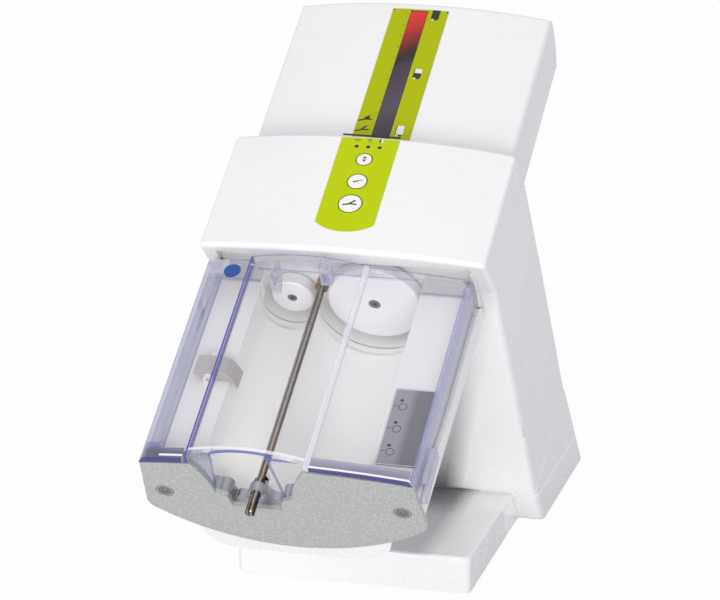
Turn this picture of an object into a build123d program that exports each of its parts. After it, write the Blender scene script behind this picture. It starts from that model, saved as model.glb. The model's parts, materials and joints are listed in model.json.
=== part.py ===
from build123d import *
from math import acos, asin, atan2, cos, degrees, hypot, pi, radians, sin, sqrt, tan
import os

# Placing of the tilted cartridge unit. Inside the unit x is across, s runs up and back
# along the cartridges, and h rises out of the console's surface.
unit_tilt = 30.0
unit_height = 134.4
unit_front = -210.85
wall = 2.6
slip_gap = 0.3
way_gap = 0.4
running_gap = 0.05

# Plungers and the cartridges that lie in front of them
large_plunger_r = 29.25
small_plunger_r = 13.1
large_x = 17.6
small_x = -34.0
axis_h = -31.3
plunger_face_s = 162.0
plunger_thick = 8.5
large_rod_r = 7.0
small_rod_r = 5.0
feed_travel = 110.0
large_trough_r = 31.9
small_trough_r = 14.5
rim_steps = ((2.2, 149.4), (3.4, 156.5))

# Mixer shaft between the cartridges
shaft_x = -15.4
shaft_h = -24.4
shaft_flats = 4.2
shaft_tip_s = -11.9
tip_r = 2.9
tip_journal_r = 3.2
tip_shoulder_s = 2.2
collar_r = 3.0
journal_r = 2.4

# Lid
lid_half_width = 81.3
lid_length = 157.5
lid_side_play = 0.9
lid_tray_gap = 0.8
lid_rise_s = 88.0
lid_rise_middle = (35.0, -22.6)
lid_front_low_h = -13.0
lid_rear_bow = (6.7, -10.0)
lid_rear_reach = 8.1
lid_end_wall = 2.2
lid_edge_h = 2.0
lid_crown = 5.0
lid_wall = 2.5
lid_low_h = -29.0
lid_left_low_h = -25.2
dome_x = (-52.5, 19.5)
dome_edge_h = (8.0, 7.5)
dome_top_h = 13.0
dome_cutback = 4.0
hinge_x = -(lid_half_width + 1.6)
hinge_h = -28.6
knuckle_r = 2.9
hinge_pin_r = 1.5
knuckle_length = 7.0
hinge_front_s = 8.0
hinge_rear_s = 128.0

# Front plate and its notch for the mixing tip
plate_lean = 5.2
plate_thick = 3.0
plate_half_top = lid_half_width - slip_gap
plate_half_low = plate_half_top + 3.5
plate_low_h = -43.4
plate_bottom_h = -75.3
plate_corner_r = 10.0
notch_x = -16.8
notch_top_h = 3.0
notch_half_top = 35.0
notch_half_mid = 27.6
notch_mid_h = -9.0
notch_half_low = 23.4
notch_shoulder_h = -25.6
notch_half_floor = 14.5
notch_floor_h = -38.0
plate_screw_x = plate_half_top - 9.8
plate_screw_h = -29.0
plate_screw_r = 5.6
plate_screw_shank_r = 2.3
plate_screw_end_s = 13.0

# Bay below the lid
bay_half_width = lid_half_width + lid_side_play
bay_low_front_h = -44.5
bay_low_rear_h = -53.0
bay_top_h = -2.0
bay_rear_s = 176.5
bay_corner_r = 9.0
belly_half_width = 58.0
belly_low_h = -87.0
belly_corner_r = 22.0
tray_half_width = lid_half_width - lid_wall - lid_tray_gap
land_h = -13.5
crest_h = -29.5
tray_front_s = 7.0
tray_rear_s = 173.0

# Console and column, one moulded housing
console_half_width = lid_half_width + 7.5
console_edge_h = 3.8
console_crown = 11.4
console_bulge = 2.7
column_low_half_width = console_half_width + 2.2
housing_corner_r = 3.2
housing_rim_r = 2.4
seam_h = -242.0

# Head behind the console
head_half_width = console_half_width - 6.4
head_edge_h = -11.4
head_crown = 10.4
head_low_h = -54.0
head_front_s = 262.0
head_rear_s = 394.5
head_bulge = 5.0
head_seam_h = -43.0

# Labels, window and buttons
label_half_width = 18.3
label_thick = 0.35
label_lift = 0.06
console_label_s = (176.6, 258.6)
head_label_rear_s = 392.0
window_x = (-6.3, 5.4)
window_s = (268.0, 388.0)
button_s = (199.6, 218.4, 237.2)
button_r = (6.9, 5.7, 4.6)
button_travel = 0.8
button_proud = 0.7
lamp_s = 248.0
lamp_pitch = 7.3
lamp_r = 1.3

# Stations of the drive along s
bulkhead_s = 177.0
bulkhead_thick = 3.0
belt_s = 187.0
belt_width = 6.0
gear_s = 196.0
gear_width = 6.0
drive_bulkhead_s = 205.0
rear_bulkhead_s = 384.0
yoke_s = 362.0
yoke_thick = 9.0

# Feed spindle, gears and belt
spindle_x = -8.0
spindle_h = -38.0
spindle_r = 5.0
gear_module = 1.0
spindle_teeth = 34
pinion_teeth = 12
pinion_angle = -50.0
pulley_r = 9.0
belt_thick = 1.4
mixer_motor_h = -88.0
mixer_motor_r = 21.0
feed_motor_r = 15.5

# Base
base_half_width = column_low_half_width + 0.6
seam_front = (281.2, 29.4)
seam_rear = (366.9, 70.6)
base_front_y = 303.4
base_rear_y = 425.7
foot_front_y = 168.2
foot_half_width = 74.7
foot_height = 24.5
foot_corner_r = 4.0
foot_rim_r = 2.5
base_clear = 1.2
foot_pad_r = 9.0
inlet_size = (31.0, 24.0)
inlet_x = -42.0
switch_x = 12.0

unit_plane = Plane(
    origin=(0, unit_front, unit_height),
    x_dir=(1, 0, 0),
    z_dir=(0, -sin(radians(unit_tilt)), cos(radians(unit_tilt))),
)
nodes = {}


def block(x, s, h):
    """A plain block between pairs of limits."""
    size = (x[1] - x[0], s[1] - s[0], h[1] - h[0])
    middle = ((x[0] + x[1]) / 2, (s[0] + s[1]) / 2, (h[0] + h[1]) / 2)
    return Pos(*middle) * Box(*size)


def rod(x, h, radius, s_start, s_end):
    """A round bar along s."""
    end_plane = Plane(origin=(x, s_start, h), x_dir=(1, 0, 0), z_dir=(0, 1, 0))
    low = (Align.CENTER, Align.CENTER, Align.MIN)
    return end_plane * Cylinder(radius, s_end - s_start, align=low)


def section(edges):
    """A face in x and h."""
    return Plane(origin=(0, 0, 0), x_dir=(1, 0, 0), z_dir=(0, -1, 0)) * Face(Wire(edges))


def along(face, s_start, s_end):
    """A face in x and h, pushed along s."""
    return Pos(0, s_start, 0) * extrude(face, amount=s_end - s_start, dir=(0, 1, 0))


def push_x(face, length):
    """An upright face in s and h, pushed along x."""
    return extrude(face, amount=length, dir=(1, 0, 0))


def across(points, x_start, x_end):
    """A polygon in s and h, pushed along x."""
    side = Plane(origin=(x_start, 0, 0), x_dir=(0, 1, 0), z_dir=(1, 0, 0))
    return push_x(side * polygon(points), x_end - x_start)


def upright(face, h_low, h_high):
    """A face in x and s, pushed along h."""
    return Pos(0, 0, h_low) * extrude(face, amount=h_high - h_low, dir=(0, 0, 1))


def polygon(points):
    return Face(Wire.make_polygon(points, close=True))


def arch(half_width, edge_h, crown, low_h):
    """A crowned section: flat below, an arc above."""
    left = (-half_width, edge_h)
    right = (half_width, edge_h)
    return section(
        [
            ThreePointArc(left, (0, edge_h + crown), right),
            Line(right, (half_width, low_h)),
            Line((half_width, low_h), (-half_width, low_h)),
            Line((-half_width, low_h), left),
        ]
    )


def crown_h(x, half_width, edge_h, crown):
    """Height of a crowned surface at x."""
    radius = (half_width**2 + crown**2) / (2 * crown)
    return edge_h + crown - radius + sqrt(radius**2 - x**2)


def keep(name, shape, frame=unit_plane):
    """File a sub-part under its name, placed in the part's frame."""
    nodes[name] = frame.location * shape if frame else shape


# The front plate leans back a little
lean = Rot(plate_lean, 0, 0)


def standing(face):
    """Stand a face drawn in x and height upright, facing forward."""
    return Plane(origin=(0, 0, 0), x_dir=(1, 0, 0), z_dir=(0, -1, 0)) * face


def bay_form(inset):
    """Wide upper part and the narrower belly under it, both behind the leaning plate."""
    rear = bay_rear_s + (20 if inset else 15)
    fall = (bay_low_rear_h - bay_low_front_h) / bay_rear_s
    half_width = bay_half_width - inset
    faces = []
    for s in (0.0, rear):
        low = bay_low_front_h + fall * s + inset
        face = polygon(
            [(-half_width, bay_top_h), (half_width, bay_top_h), (half_width, low), (-half_width, low)]
        )
        face = face.fillet_2d(bay_corner_r - inset, face.vertices().sort_by(Axis.Y)[:2])
        faces.append(Pos(0, s, 0) * standing(face))
    wide = Solid.make_loft([face.outer_wire() for face in faces], ruled=True)
    half_belly = belly_half_width - inset
    low = belly_low_h + inset
    belly = polygon([(-half_belly, -35), (half_belly, -35), (half_belly, low), (-half_belly, low)])
    belly = belly.fillet_2d(belly_corner_r - inset, belly.vertices().sort_by(Axis.Y)[:2])
    form = Part() + wide + along(standing(belly), 0, rear)
    return form - lean * block((-120, 120), (-80, plate_thick + slip_gap + inset), (-150, 30))


# Console and column housing: plan outlines stacked along h, topped by the console's crown
housing_levels = (
    (20.0, 161.5, 255.9),
    (-31.0, 178.5, 271.0),
    (-120.0, 184.5, 278.3),
    (seam_h, 191.3, 285.9),
)


def plan_outline(half_width, front, rear, bulge, corner):
    """Plan of the housing at one level: bulged front, rounded corners."""
    face = Face(
        Wire(
            [
                ThreePointArc((-half_width, front), (0, front - bulge), (half_width, front)),
                Line((half_width, front), (half_width, rear)),
                Line((half_width, rear), (-half_width, rear)),
                Line((-half_width, rear), (-half_width, front)),
            ]
        )
    )
    return face.fillet_2d(corner, face.vertices())


def to_unit(y, z):
    """World y and z, measured from the unit's origin in y, as s and h."""
    rise = z - unit_height
    turn = radians(unit_tilt)
    return (y * cos(turn) + rise * sin(turn), rise * cos(turn) - y * sin(turn))


def seam_point(share):
    """A point of the seam between column and base, 0 at the front, 1 at the rear."""
    y = seam_front[0] + share * (seam_rear[0] - seam_front[0])
    z = seam_front[1] + share * (seam_rear[1] - seam_front[1])
    return to_unit(y, z)


def housing_form(inset, low_extra=0.0):
    """The housing's outer form, or with an inset its hollow."""
    faces = []
    for h, front, rear in housing_levels:
        share = (console_edge_h - h) / (console_edge_h - seam_h)
        half_width = console_half_width + share * (column_low_half_width - console_half_width)
        level = h - low_extra if h == seam_h else h
        plan = plan_outline(
            half_width - inset, front + inset, rear - inset, console_bulge, housing_corner_r
        )
        faces.append(Pos(0, 0, level) * plan)
    body = Solid.make_loft([face.outer_wire() for face in faces], ruled=True)
    top = arch(console_half_width - inset, console_edge_h - inset, console_crown, seam_h - 5)
    low_half = column_low_half_width + 5
    sides = block((-low_half, low_half), (140, 300), (seam_h - 5, console_edge_h - 12))
    return body & (along(top, 140, 300) + sides)


def make_housing():
    outer = housing_form(0)
    rim = outer.faces().sort_by(Axis.Z)[-1].edges()
    outer = fillet(rim, housing_rim_r)
    shell = outer - housing_form(wall, low_extra=5.0)
    way_half = tray_half_width + 0.6
    shell -= block((-way_half, way_half), (150, 190), (-10, 0))
    shell -= bay_form(wall + way_gap) & block((-120, 120), (150, 200), (belly_low_h, 0))
    head_room = head_half_width + slip_gap
    shell -= block((-head_room, head_room), (240, 300), (head_low_h - slip_gap, head_edge_h + 1))
    shell -= along(
        arch(head_room, head_edge_h + slip_gap, head_crown, head_low_h - slip_gap), 240, 300
    )
    shell -= across(rear_panel_outline(0), -rear_panel_half - slip_gap, rear_panel_half + slip_gap)
    for x in (-1, 1):
        for s in (board_s[0] + 5, board_s[1] - 5):
            post = upright(Pos(x * (board_half_width - 5), s) * Circle(2.6), board_top_h, 14)
            shell += post & housing_form(wall - 0.2)
    for s, radius in zip(button_s, button_r):
        shell -= upright(Pos(0, s) * Circle(radius + 0.25), 5, 20)
    for x in (-lamp_pitch, 0, lamp_pitch):
        shell -= upright(Pos(x, lamp_s) * Circle(lamp_r + 0.05), 5, 20)
    below = [seam_point(-0.3), seam_point(1.3), (330, -330), (150, -330)]
    return shell - across(below, -120, 120)


# Rear cover panel of the column, in the housing's rear wall
rear_panel_half = 72.0
rear_panel_h = (-222.0, -66.0)
board_half_width = 25.0
board_s = (192.0, 252.0)
board_top_h = 6.4
board_thick = 1.6


def rear_wall_s(h):
    """Station of the housing's rear wall at a height below the head."""
    upper, lower = housing_levels[1:3] if h > housing_levels[2][0] else housing_levels[2:4]
    share = (upper[0] - h) / (upper[0] - lower[0])
    return upper[2] + share * (lower[2] - upper[2])


def rear_panel_outline(inset):
    """Side profile of the rear panel: a strip that follows the rear wall."""
    low, high = rear_panel_h[0] + inset, rear_panel_h[1] - inset
    knee = housing_levels[2][0]
    depth = wall + 2 if inset == 0 else wall
    outer = [(rear_wall_s(h) + (3 if inset == 0 else 0), h) for h in (low, knee, high)]
    inner = [(rear_wall_s(h) - depth, h) for h in (high, knee, low)]
    return outer + inner


def make_rear_panel():
    panel = across(rear_panel_outline(slip_gap), -rear_panel_half, rear_panel_half)
    for row in range(8):
        h = rear_panel_h[0] + 30 + row * 8
        panel -= block((-30, 30), (265, 300), (h, h + 3))
    return panel


keep("column_housing", make_housing())
keep("rear_panel", make_rear_panel())


# Head: cover, lower pan, window and its label
def head_form(inset, front_extra=0.0):
    """The head's outer form, or with an inset its hollow."""
    rear = head_rear_s - 2 - inset
    edges = [
        Line((head_front_s - front_extra, head_low_h + inset), (rear + 1, head_low_h + inset)),
        ThreePointArc(
            (rear + 1, head_low_h + inset), (rear + head_bulge + 2, -31), (rear, 4 - inset)
        ),
        Line((rear, 4 - inset), (head_front_s - front_extra, 4 - inset)),
        Line((head_front_s - front_extra, 4 - inset), (head_front_s - front_extra, head_low_h + inset)),
    ]
    side = Plane(origin=(-100, 0, 0), x_dir=(0, 1, 0), z_dir=(1, 0, 0)) * Face(Wire(edges))
    body = push_x(side, 200)
    half_width = head_half_width - inset
    crown_face = arch(half_width, head_edge_h - inset, head_crown, head_low_h + inset)
    return body & along(crown_face, head_front_s - front_extra, head_rear_s + 10)


def make_head():
    outer = head_form(0)
    top_face = outer.faces().sort_by(Axis.Z)[-1]
    outer = fillet(top_face.edges().sort_by(Axis.Y)[1:], 3.5)
    low_edges = outer.edges().filter_by(Axis.Y).sort_by(Axis.Z)[:2]
    outer = fillet(low_edges, 5.0)
    shell = outer - head_form(wall, front_extra=5)
    above = block((-100, 100), (250, 420), (head_seam_h, 20))
    below = block((-100, 100), (250, 420), (-80, head_seam_h))
    opening = block((window_x[0], window_x[1]), window_s, (-20, 10))
    return (shell & above) - opening, shell & below


def skin(form_low, form_high, x, s, h):
    """A thin layer between two nested forms, within limits."""
    return (form_high - form_low) & block(x, s, h)


head_cover, head_pan = make_head()
keep("head_cover", head_cover)
keep("head_pan", head_pan)

window_gap = 0.1
window_limits = (window_x[0] + window_gap, window_x[1] - window_gap)
window_run = (window_s[0] + window_gap, window_s[1] - window_gap)
keep(
    "level_window",
    skin(head_form(1.6), head_form(0.2), window_limits, window_run, (-20, 10)),
)
head_label = skin(
    head_form(-label_lift),
    head_form(-label_thick),
    (-label_half_width, label_half_width),
    (head_front_s + 1, head_label_rear_s - 3),
    (-12, 10),
)
head_label -= block(window_x, window_s, (-20, 10))
keep("display_label", head_label)


# Console label, buttons, lamps and the board beneath them
def console_skin(low_inset, high_inset):
    low = arch(
        console_half_width - low_inset, console_edge_h - low_inset, console_crown, -10
    )
    high = arch(
        console_half_width - high_inset, console_edge_h - high_inset, console_crown, -10
    )
    return along(high, 150, 262) - along(low, 150, 262)


def make_console_label():
    front, rear = console_label_s
    corner = front + 7
    outline = Face(
        Wire(
            [
                ThreePointArc((-label_half_width, corner), (0, front), (label_half_width, corner)),
                Line((label_half_width, corner), (label_half_width, rear - 3.2)),
                Line((label_half_width, rear - 3.2), (-label_half_width, rear - 3.2)),
                Line((-label_half_width, rear - 3.2), (-label_half_width, corner)),
            ]
        )
    )
    outline = outline.fillet_2d(2.5, outline.vertices().sort_by(Axis.Y)[:2])
    label = upright(outline, 0, 25) & console_skin(-label_lift, -label_thick)
    for s, radius in zip(button_s, button_r):
        label -= upright(Pos(0, s) * Circle(radius + 0.15), 5, 20)
    for x in (-lamp_pitch, 0, lamp_pitch):
        label -= upright(Pos(x, lamp_s) * Circle(lamp_r + 0.05), 5, 20)
    return label


console_top_h = console_edge_h + console_crown
keep("console_label", make_console_label())
button_names = ("mix_button", "feed_button", "retract_button")
switch_h = 1.4
for name, s, radius in zip(button_names, button_s, button_r):
    cap = upright(Pos(0, s) * Circle(radius), console_top_h - 3, console_top_h + button_proud)
    cap = fillet(cap.edges().sort_by(Axis.Z)[-1], 0.4)
    stem = upright(Pos(0, s) * Circle(2.2), board_top_h + switch_h + button_travel + 0.1, console_top_h - 3)
    keep(name, cap + stem)
lamps = [
    upright(Pos(x, lamp_s) * Circle(lamp_r), board_top_h, console_top_h + label_thick - 0.1)
    for x in (-lamp_pitch, 0, lamp_pitch)
]
keep("status_lamps", Compound(children=lamps))
board = block(
    (-board_half_width, board_half_width), board_s, (board_top_h - board_thick, board_top_h)
)
for s in button_s:
    board += upright(Pos(0, s) * Circle(3.2), board_top_h, board_top_h + switch_h)
keep("control_board", board)


# Front plate, its screws and the cradle for the mixing tip, all on the leaning front
plate_edge_h = lid_edge_h - lid_wall - 1.2
notch_open_h = dome_top_h + 2.0


def notch_outline(grow=0.0):
    """Funnel-shaped notch with a shoulder and a narrower floor."""
    half_top = notch_half_top + grow
    half_mid = notch_half_mid + grow
    half = [
        (notch_half_low + grow, notch_shoulder_h - grow),
        (notch_half_floor + 2 + grow, notch_shoulder_h - 3.4 - grow),
        (notch_half_floor + grow, notch_floor_h - grow),
    ]
    right = [(notch_x + x, h) for x, h in half]
    left = [(notch_x - x, h) for x, h in reversed(half)]
    top_right = (notch_x + half_top, notch_top_h)
    top_left = (notch_x - half_top, notch_top_h)
    open_right = (top_right[0], notch_open_h)
    open_left = (top_left[0], notch_open_h)
    floor = [Line(a, b) for a, b in zip(right + left, (right + left)[1:])]
    edges = [
        Line(open_right, top_right),
        ThreePointArc(top_right, (notch_x + half_mid, notch_mid_h), right[0]),
        *floor,
        ThreePointArc(left[-1], (notch_x - half_mid, notch_mid_h), top_left),
        Line(top_left, open_left),
        Line(open_left, open_right),
    ]
    return Face(Wire(edges))


def rounded_notch(grow=0.0):
    face = notch_outline(grow)
    low_corners = face.vertices().sort_by(Axis.Y)[:6]
    return face.fillet_2d(1.2, low_corners)


def plate_outline():
    low = (plate_half_low, plate_low_h)
    top = (plate_half_top, plate_edge_h)
    face = Face(
        Wire(
            [
                ThreePointArc((-top[0], top[1]), (0, plate_edge_h + lid_crown), top),
                Line(top, low),
                ThreePointArc(low, (0, plate_bottom_h), (-low[0], low[1])),
                Line((-low[0], low[1]), (-top[0], top[1])),
            ]
        )
    )
    return face.fillet_2d(plate_corner_r, face.vertices().sort_by(Axis.Y)[:2])


def make_front_plate():
    plate = along(standing(plate_outline()), 0, plate_thick)
    plate -= along(standing(rounded_notch()), -1, plate_thick + 1)
    for side in (-1, 1):
        sink = Plane(origin=(side * plate_screw_x, 0, plate_screw_h), z_dir=(0, 1, 0))
        low = (Align.CENTER, Align.CENTER, Align.MIN)
        hole_r = plate_screw_shank_r + slip_gap
        plate -= sink * Cone(plate_screw_r, hole_r, 2.4, align=low)
        plate -= rod(side * plate_screw_x, plate_screw_h, hole_r, 0, plate_thick + 1)
    return plate


def screw_ways():
    """Holes behind the plate for its two screws."""
    radius = plate_screw_shank_r + slip_gap
    ways = rod(-plate_screw_x, plate_screw_h, radius, 0, plate_screw_end_s + 2)
    return ways + rod(plate_screw_x, plate_screw_h, radius, 0, plate_screw_end_s + 2)


def make_plate_screws():
    screws = []
    for side in (-1, 1):
        x = side * plate_screw_x
        head_plane = Plane(origin=(x, 0.1, plate_screw_h), z_dir=(0, 1, 0))
        low = (Align.CENTER, Align.CENTER, Align.MIN)
        screw = head_plane * Cone(plate_screw_r - 0.2, plate_screw_shank_r, 2.3, align=low)
        screw += rod(x, plate_screw_h, plate_screw_shank_r, 2.3, plate_screw_end_s)
        socket = extrude(
            Plane(origin=(x, 0.1, plate_screw_h), z_dir=(0, 1, 0)) * RegularPolygon(1.9, 6), amount=1.6
        )
        screws.append(screw - socket)
    return Compound(children=screws)


cradle_depth = 9.0
cradle_ring_r = 4.7
cradle_ring_s = (tip_shoulder_s + 0.3, 9.0)


def horn_rods(grow, s_start, s_end):
    """The two rounded horns at the notch's shoulders."""
    left = rod(notch_x - 19.5, notch_shoulder_h - 5.1, 4.6 + grow, s_start, s_end)
    return left + rod(notch_x + 19.5, notch_shoulder_h - 6.1, 4.2 + grow, s_start, s_end)


def make_tip_cradle():
    """Scalloped rest behind the notch, with the ring that steadies the shaft's end."""
    keep_low = Pos(notch_x, notch_shoulder_h - 18.1) * Rectangle(60, 36)
    floor_band = (standing(notch_outline(2.6)) - standing(notch_outline(0))) & standing(keep_low)
    cradle = along(floor_band, plate_thick, plate_thick + cradle_depth)
    web_points = [
        (notch_x - notch_half_floor - 1, notch_floor_h - 1.5),
        (shaft_x - 3.6, shaft_h - 2),
        (shaft_x + 3.6, shaft_h - 2),
        (notch_x + notch_half_floor + 1, notch_floor_h - 1.5),
    ]
    web = along(standing(polygon(web_points)), plate_thick + 3, plate_thick + cradle_depth)
    for side in (-1, 1):
        scallop_x = shaft_x + side * 10.2
        web -= rod(scallop_x, -30.5, 6.6, 0, plate_thick + cradle_depth + 1)
    horn = horn_rods(0, plate_thick, plate_thick + cradle_depth)
    ring = rod(shaft_x, shaft_h, cradle_ring_r, *cradle_ring_s)
    cradle = lean * (cradle + horn + web) + ring
    return cradle - rod(shaft_x, shaft_h, tip_journal_r + running_gap, -5, plate_thick + cradle_depth + 5)


keep("front_plate", lean * make_front_plate())
keep("plate_screws", lean * make_plate_screws())
keep("tip_cradle", make_tip_cradle())


# Lid: crowned clear cover with a low dome, deep sides and hold-down lugs
def lid_face(inset):
    """Closed section of the lid's outside, or of its hollow."""
    edge = (lid_half_width - inset, lid_edge_h - inset)
    top = lid_edge_h + lid_crown - inset
    dome_left, dome_right = dome_x[0] + inset, dome_x[1] - inset
    left_h = crown_h(dome_left, edge[0], edge[1], lid_crown)
    right_h = crown_h(dome_right, edge[0], edge[1], lid_crown)
    left_mid = (edge[0] - dome_left) / -2
    right_mid = (edge[0] + dome_right) / 2
    low = lid_low_h - 5
    left_mid_h = crown_h(left_mid, edge[0], edge[1], lid_crown)
    right_mid_h = crown_h(right_mid, edge[0], edge[1], lid_crown)
    dome_mid = (dome_left + dome_right) / 2
    dome_left_h, dome_right_h = dome_edge_h[0] - inset, dome_edge_h[1] - inset
    face = Face(
        Wire(
            [
                ThreePointArc((-edge[0], edge[1]), (left_mid, left_mid_h), (dome_left, left_h)),
                Line((dome_left, left_h), (dome_left, dome_left_h)),
                ThreePointArc(
                    (dome_left, dome_left_h), (dome_mid, dome_top_h - inset), (dome_right, dome_right_h)
                ),
                Line((dome_right, dome_right_h), (dome_right, right_h)),
                ThreePointArc((dome_right, right_h), (right_mid, right_mid_h), edge),
                Line(edge, (edge[0], low)),
                Line((edge[0], low), (-edge[0], low)),
                Line((-edge[0], low), (-edge[0], edge[1])),
            ]
        )
    )
    corners = [v for v in face.vertices() if abs(abs(v.X) - edge[0]) < 0.01 and v.Y > low + 1]
    return face.fillet_2d(4.5 - inset, corners)


def lid_side_profile():
    """Side view of the lid: low edge, curved rear end, curved rise to the front."""
    rear_low = (lid_length + lid_rear_reach, lid_low_h)
    rear_bow = (lid_length + lid_rear_bow[0], lid_rear_bow[1])
    front_low = (0, lid_front_low_h)
    edges = [
        Line((0, lid_edge_h + 15), (lid_length, lid_edge_h + 15)),
        Line((lid_length, lid_edge_h + 15), (lid_length, 0)),
        ThreePointArc((lid_length, 0), rear_bow, rear_low),
        Line(rear_low, (lid_rise_s, lid_low_h)),
        ThreePointArc((lid_rise_s, lid_low_h), lid_rise_middle, front_low),
        Line(front_low, (0, lid_edge_h + 15)),
    ]
    return Face(Wire(edges))


lug_x = -35.5
catch_x = (-9.0, -2.0)
flap_s = (2.4, 4.2)


def make_lid_flaps():
    """The two clear flaps that close the notch's flanks in front of the dome."""
    flaps = along(standing(notch_outline(-0.4)), *flap_s)
    left = [(-60, -30), (-40.4, -30), (-36.4, 20), (-60, 20)]
    right = [(40, -30), (0.8, -30), (-5.3, 20), (40, 20)]
    sides = along(standing(polygon(left)), *flap_s) + along(standing(polygon(right)), *flap_s)
    return (lean * (flaps & sides)) & along(standing(lid_face(0.3)), -5, 20)


def make_lid():
    rear = lid_length + 14.5
    outer = along(standing(lid_face(0)), 0, rear)
    hollow = along(standing(lid_face(lid_wall)), -1, lid_length - lid_end_wall)
    hollow += block(
        (-lid_half_width + lid_wall, lid_half_width - lid_wall),
        (lid_length - lid_end_wall - 1, rear + 3),
        (lid_low_h - 10, land_h + 1.0),
    )
    hollow += block((-49.5, 49.5), (lid_length - 17.5, rear + 3), (lid_low_h - 10, -1.4))
    side = Plane(origin=(0, 0, 0), x_dir=(0, 1, 0), z_dir=(1, 0, 0)) * lid_side_profile()
    lid = (outer - hollow) & extrude(side, amount=lid_half_width + 5, both=True)
    lid -= block((-90, -70), (0, rear + 3), (lid_low_h - 5, lid_left_low_h))
    chord = (dome_x[1] - dome_x[0]) / 2
    cut_r = (chord**2 + dome_cutback**2) / (2 * dome_cutback)
    dome_mid = (dome_x[0] + dome_x[1]) / 2
    lid -= Pos(dome_mid, dome_cutback - cut_r, 0) * extrude(Circle(cut_r), amount=30)
    lug = [(-18, 9.5), (-3, 9.5), (-3, -4), (-6.5, -10.5), (-11.5, -10.5), (-18, 1)]
    lid += across([(lid_length + s, h) for s, h in lug], lug_x - 1.25, lug_x + 1.25)
    catch = block(catch_x, (lid_length - 7.5, lid_length - 0.5), (-4.5, 10.2))
    catch -= block((catch_x[0] + 1.6, catch_x[1] - 1.6), (lid_length - 12, lid_length - 4), (-2, 6))
    lid += catch
    over_plate = (-60, plate_thick + slip_gap)
    lid -= lean * block((-100, 100), over_plate, (-60, plate_edge_h + slip_gap))
    lid += make_lid_flaps()
    for start in (hinge_front_s, hinge_rear_s):
        knuckle_start = start + knuckle_length + slip_gap
        ends = (knuckle_start, knuckle_start + knuckle_length)
        lid += rod(hinge_x, hinge_h, knuckle_r, *ends)
        lid += block((hinge_x - 1, -lid_half_width + lid_wall), ends, (hinge_h, hinge_h + 14))
        lid -= rod(hinge_x, hinge_h, hinge_pin_r + running_gap, *ends)
    return lid


def make_lid_grip():
    """Finger bar outside the lid's right side, near the front."""
    x_side = lid_half_width
    bar = across([(6, -18.4), (42, -17.6), (42, -24.6), (9, -26.5), (6, -23)], x_side + 1.4, x_side + 3.6)
    root = across([(16, -14), (41, -15), (41, -19.6), (16, -17.2)], x_side, x_side + 2.6)
    return bar + root


marker_place = (-62.5, lid_length - 9.5)
marker_r = 5.2
keep("lid", make_lid())
keep("lid_grip", make_lid_grip())
marker_h = crown_h(marker_place[0], lid_half_width, lid_edge_h, lid_crown)
disc = extrude(Pos(0, 0, -0.05) * Circle(marker_r), amount=0.5)
marker_slope = degrees(asin(-marker_place[0] * 2 * lid_crown / (lid_half_width**2 + lid_crown**2)))
keep("marker_disc", Pos(marker_place[0], marker_place[1], marker_h + 0.12) * Rot(0, -marker_slope, 0) * disc)


# Bay: outer body and the moulded tray inside it
def bay_side_cut(x_start, x_end):
    """What is cleared above the bay's side wall: the lid's low edge with a gap."""
    low = lid_low_h - lid_side_play
    middle = (lid_rise_middle[0], lid_rise_middle[1] - lid_side_play)
    front = (0, lid_front_low_h - lid_side_play)
    ahead = (-20, front[1] + 4)
    edges = [
        Line((-20, 20), (200, 20)),
        Line((200, 20), (200, low)),
        Line((200, low), (lid_rise_s, low)),
        ThreePointArc((lid_rise_s, low), middle, front),
        Line(front, ahead),
        Line(ahead, (-20, 20)),
    ]
    side = Plane(origin=(x_start, 0, 0), x_dir=(0, 1, 0), z_dir=(1, 0, 0)) * Face(Wire(edges))
    return push_x(side, x_end - x_start)


behind_front_wall = plate_thick + slip_gap + wall


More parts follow.
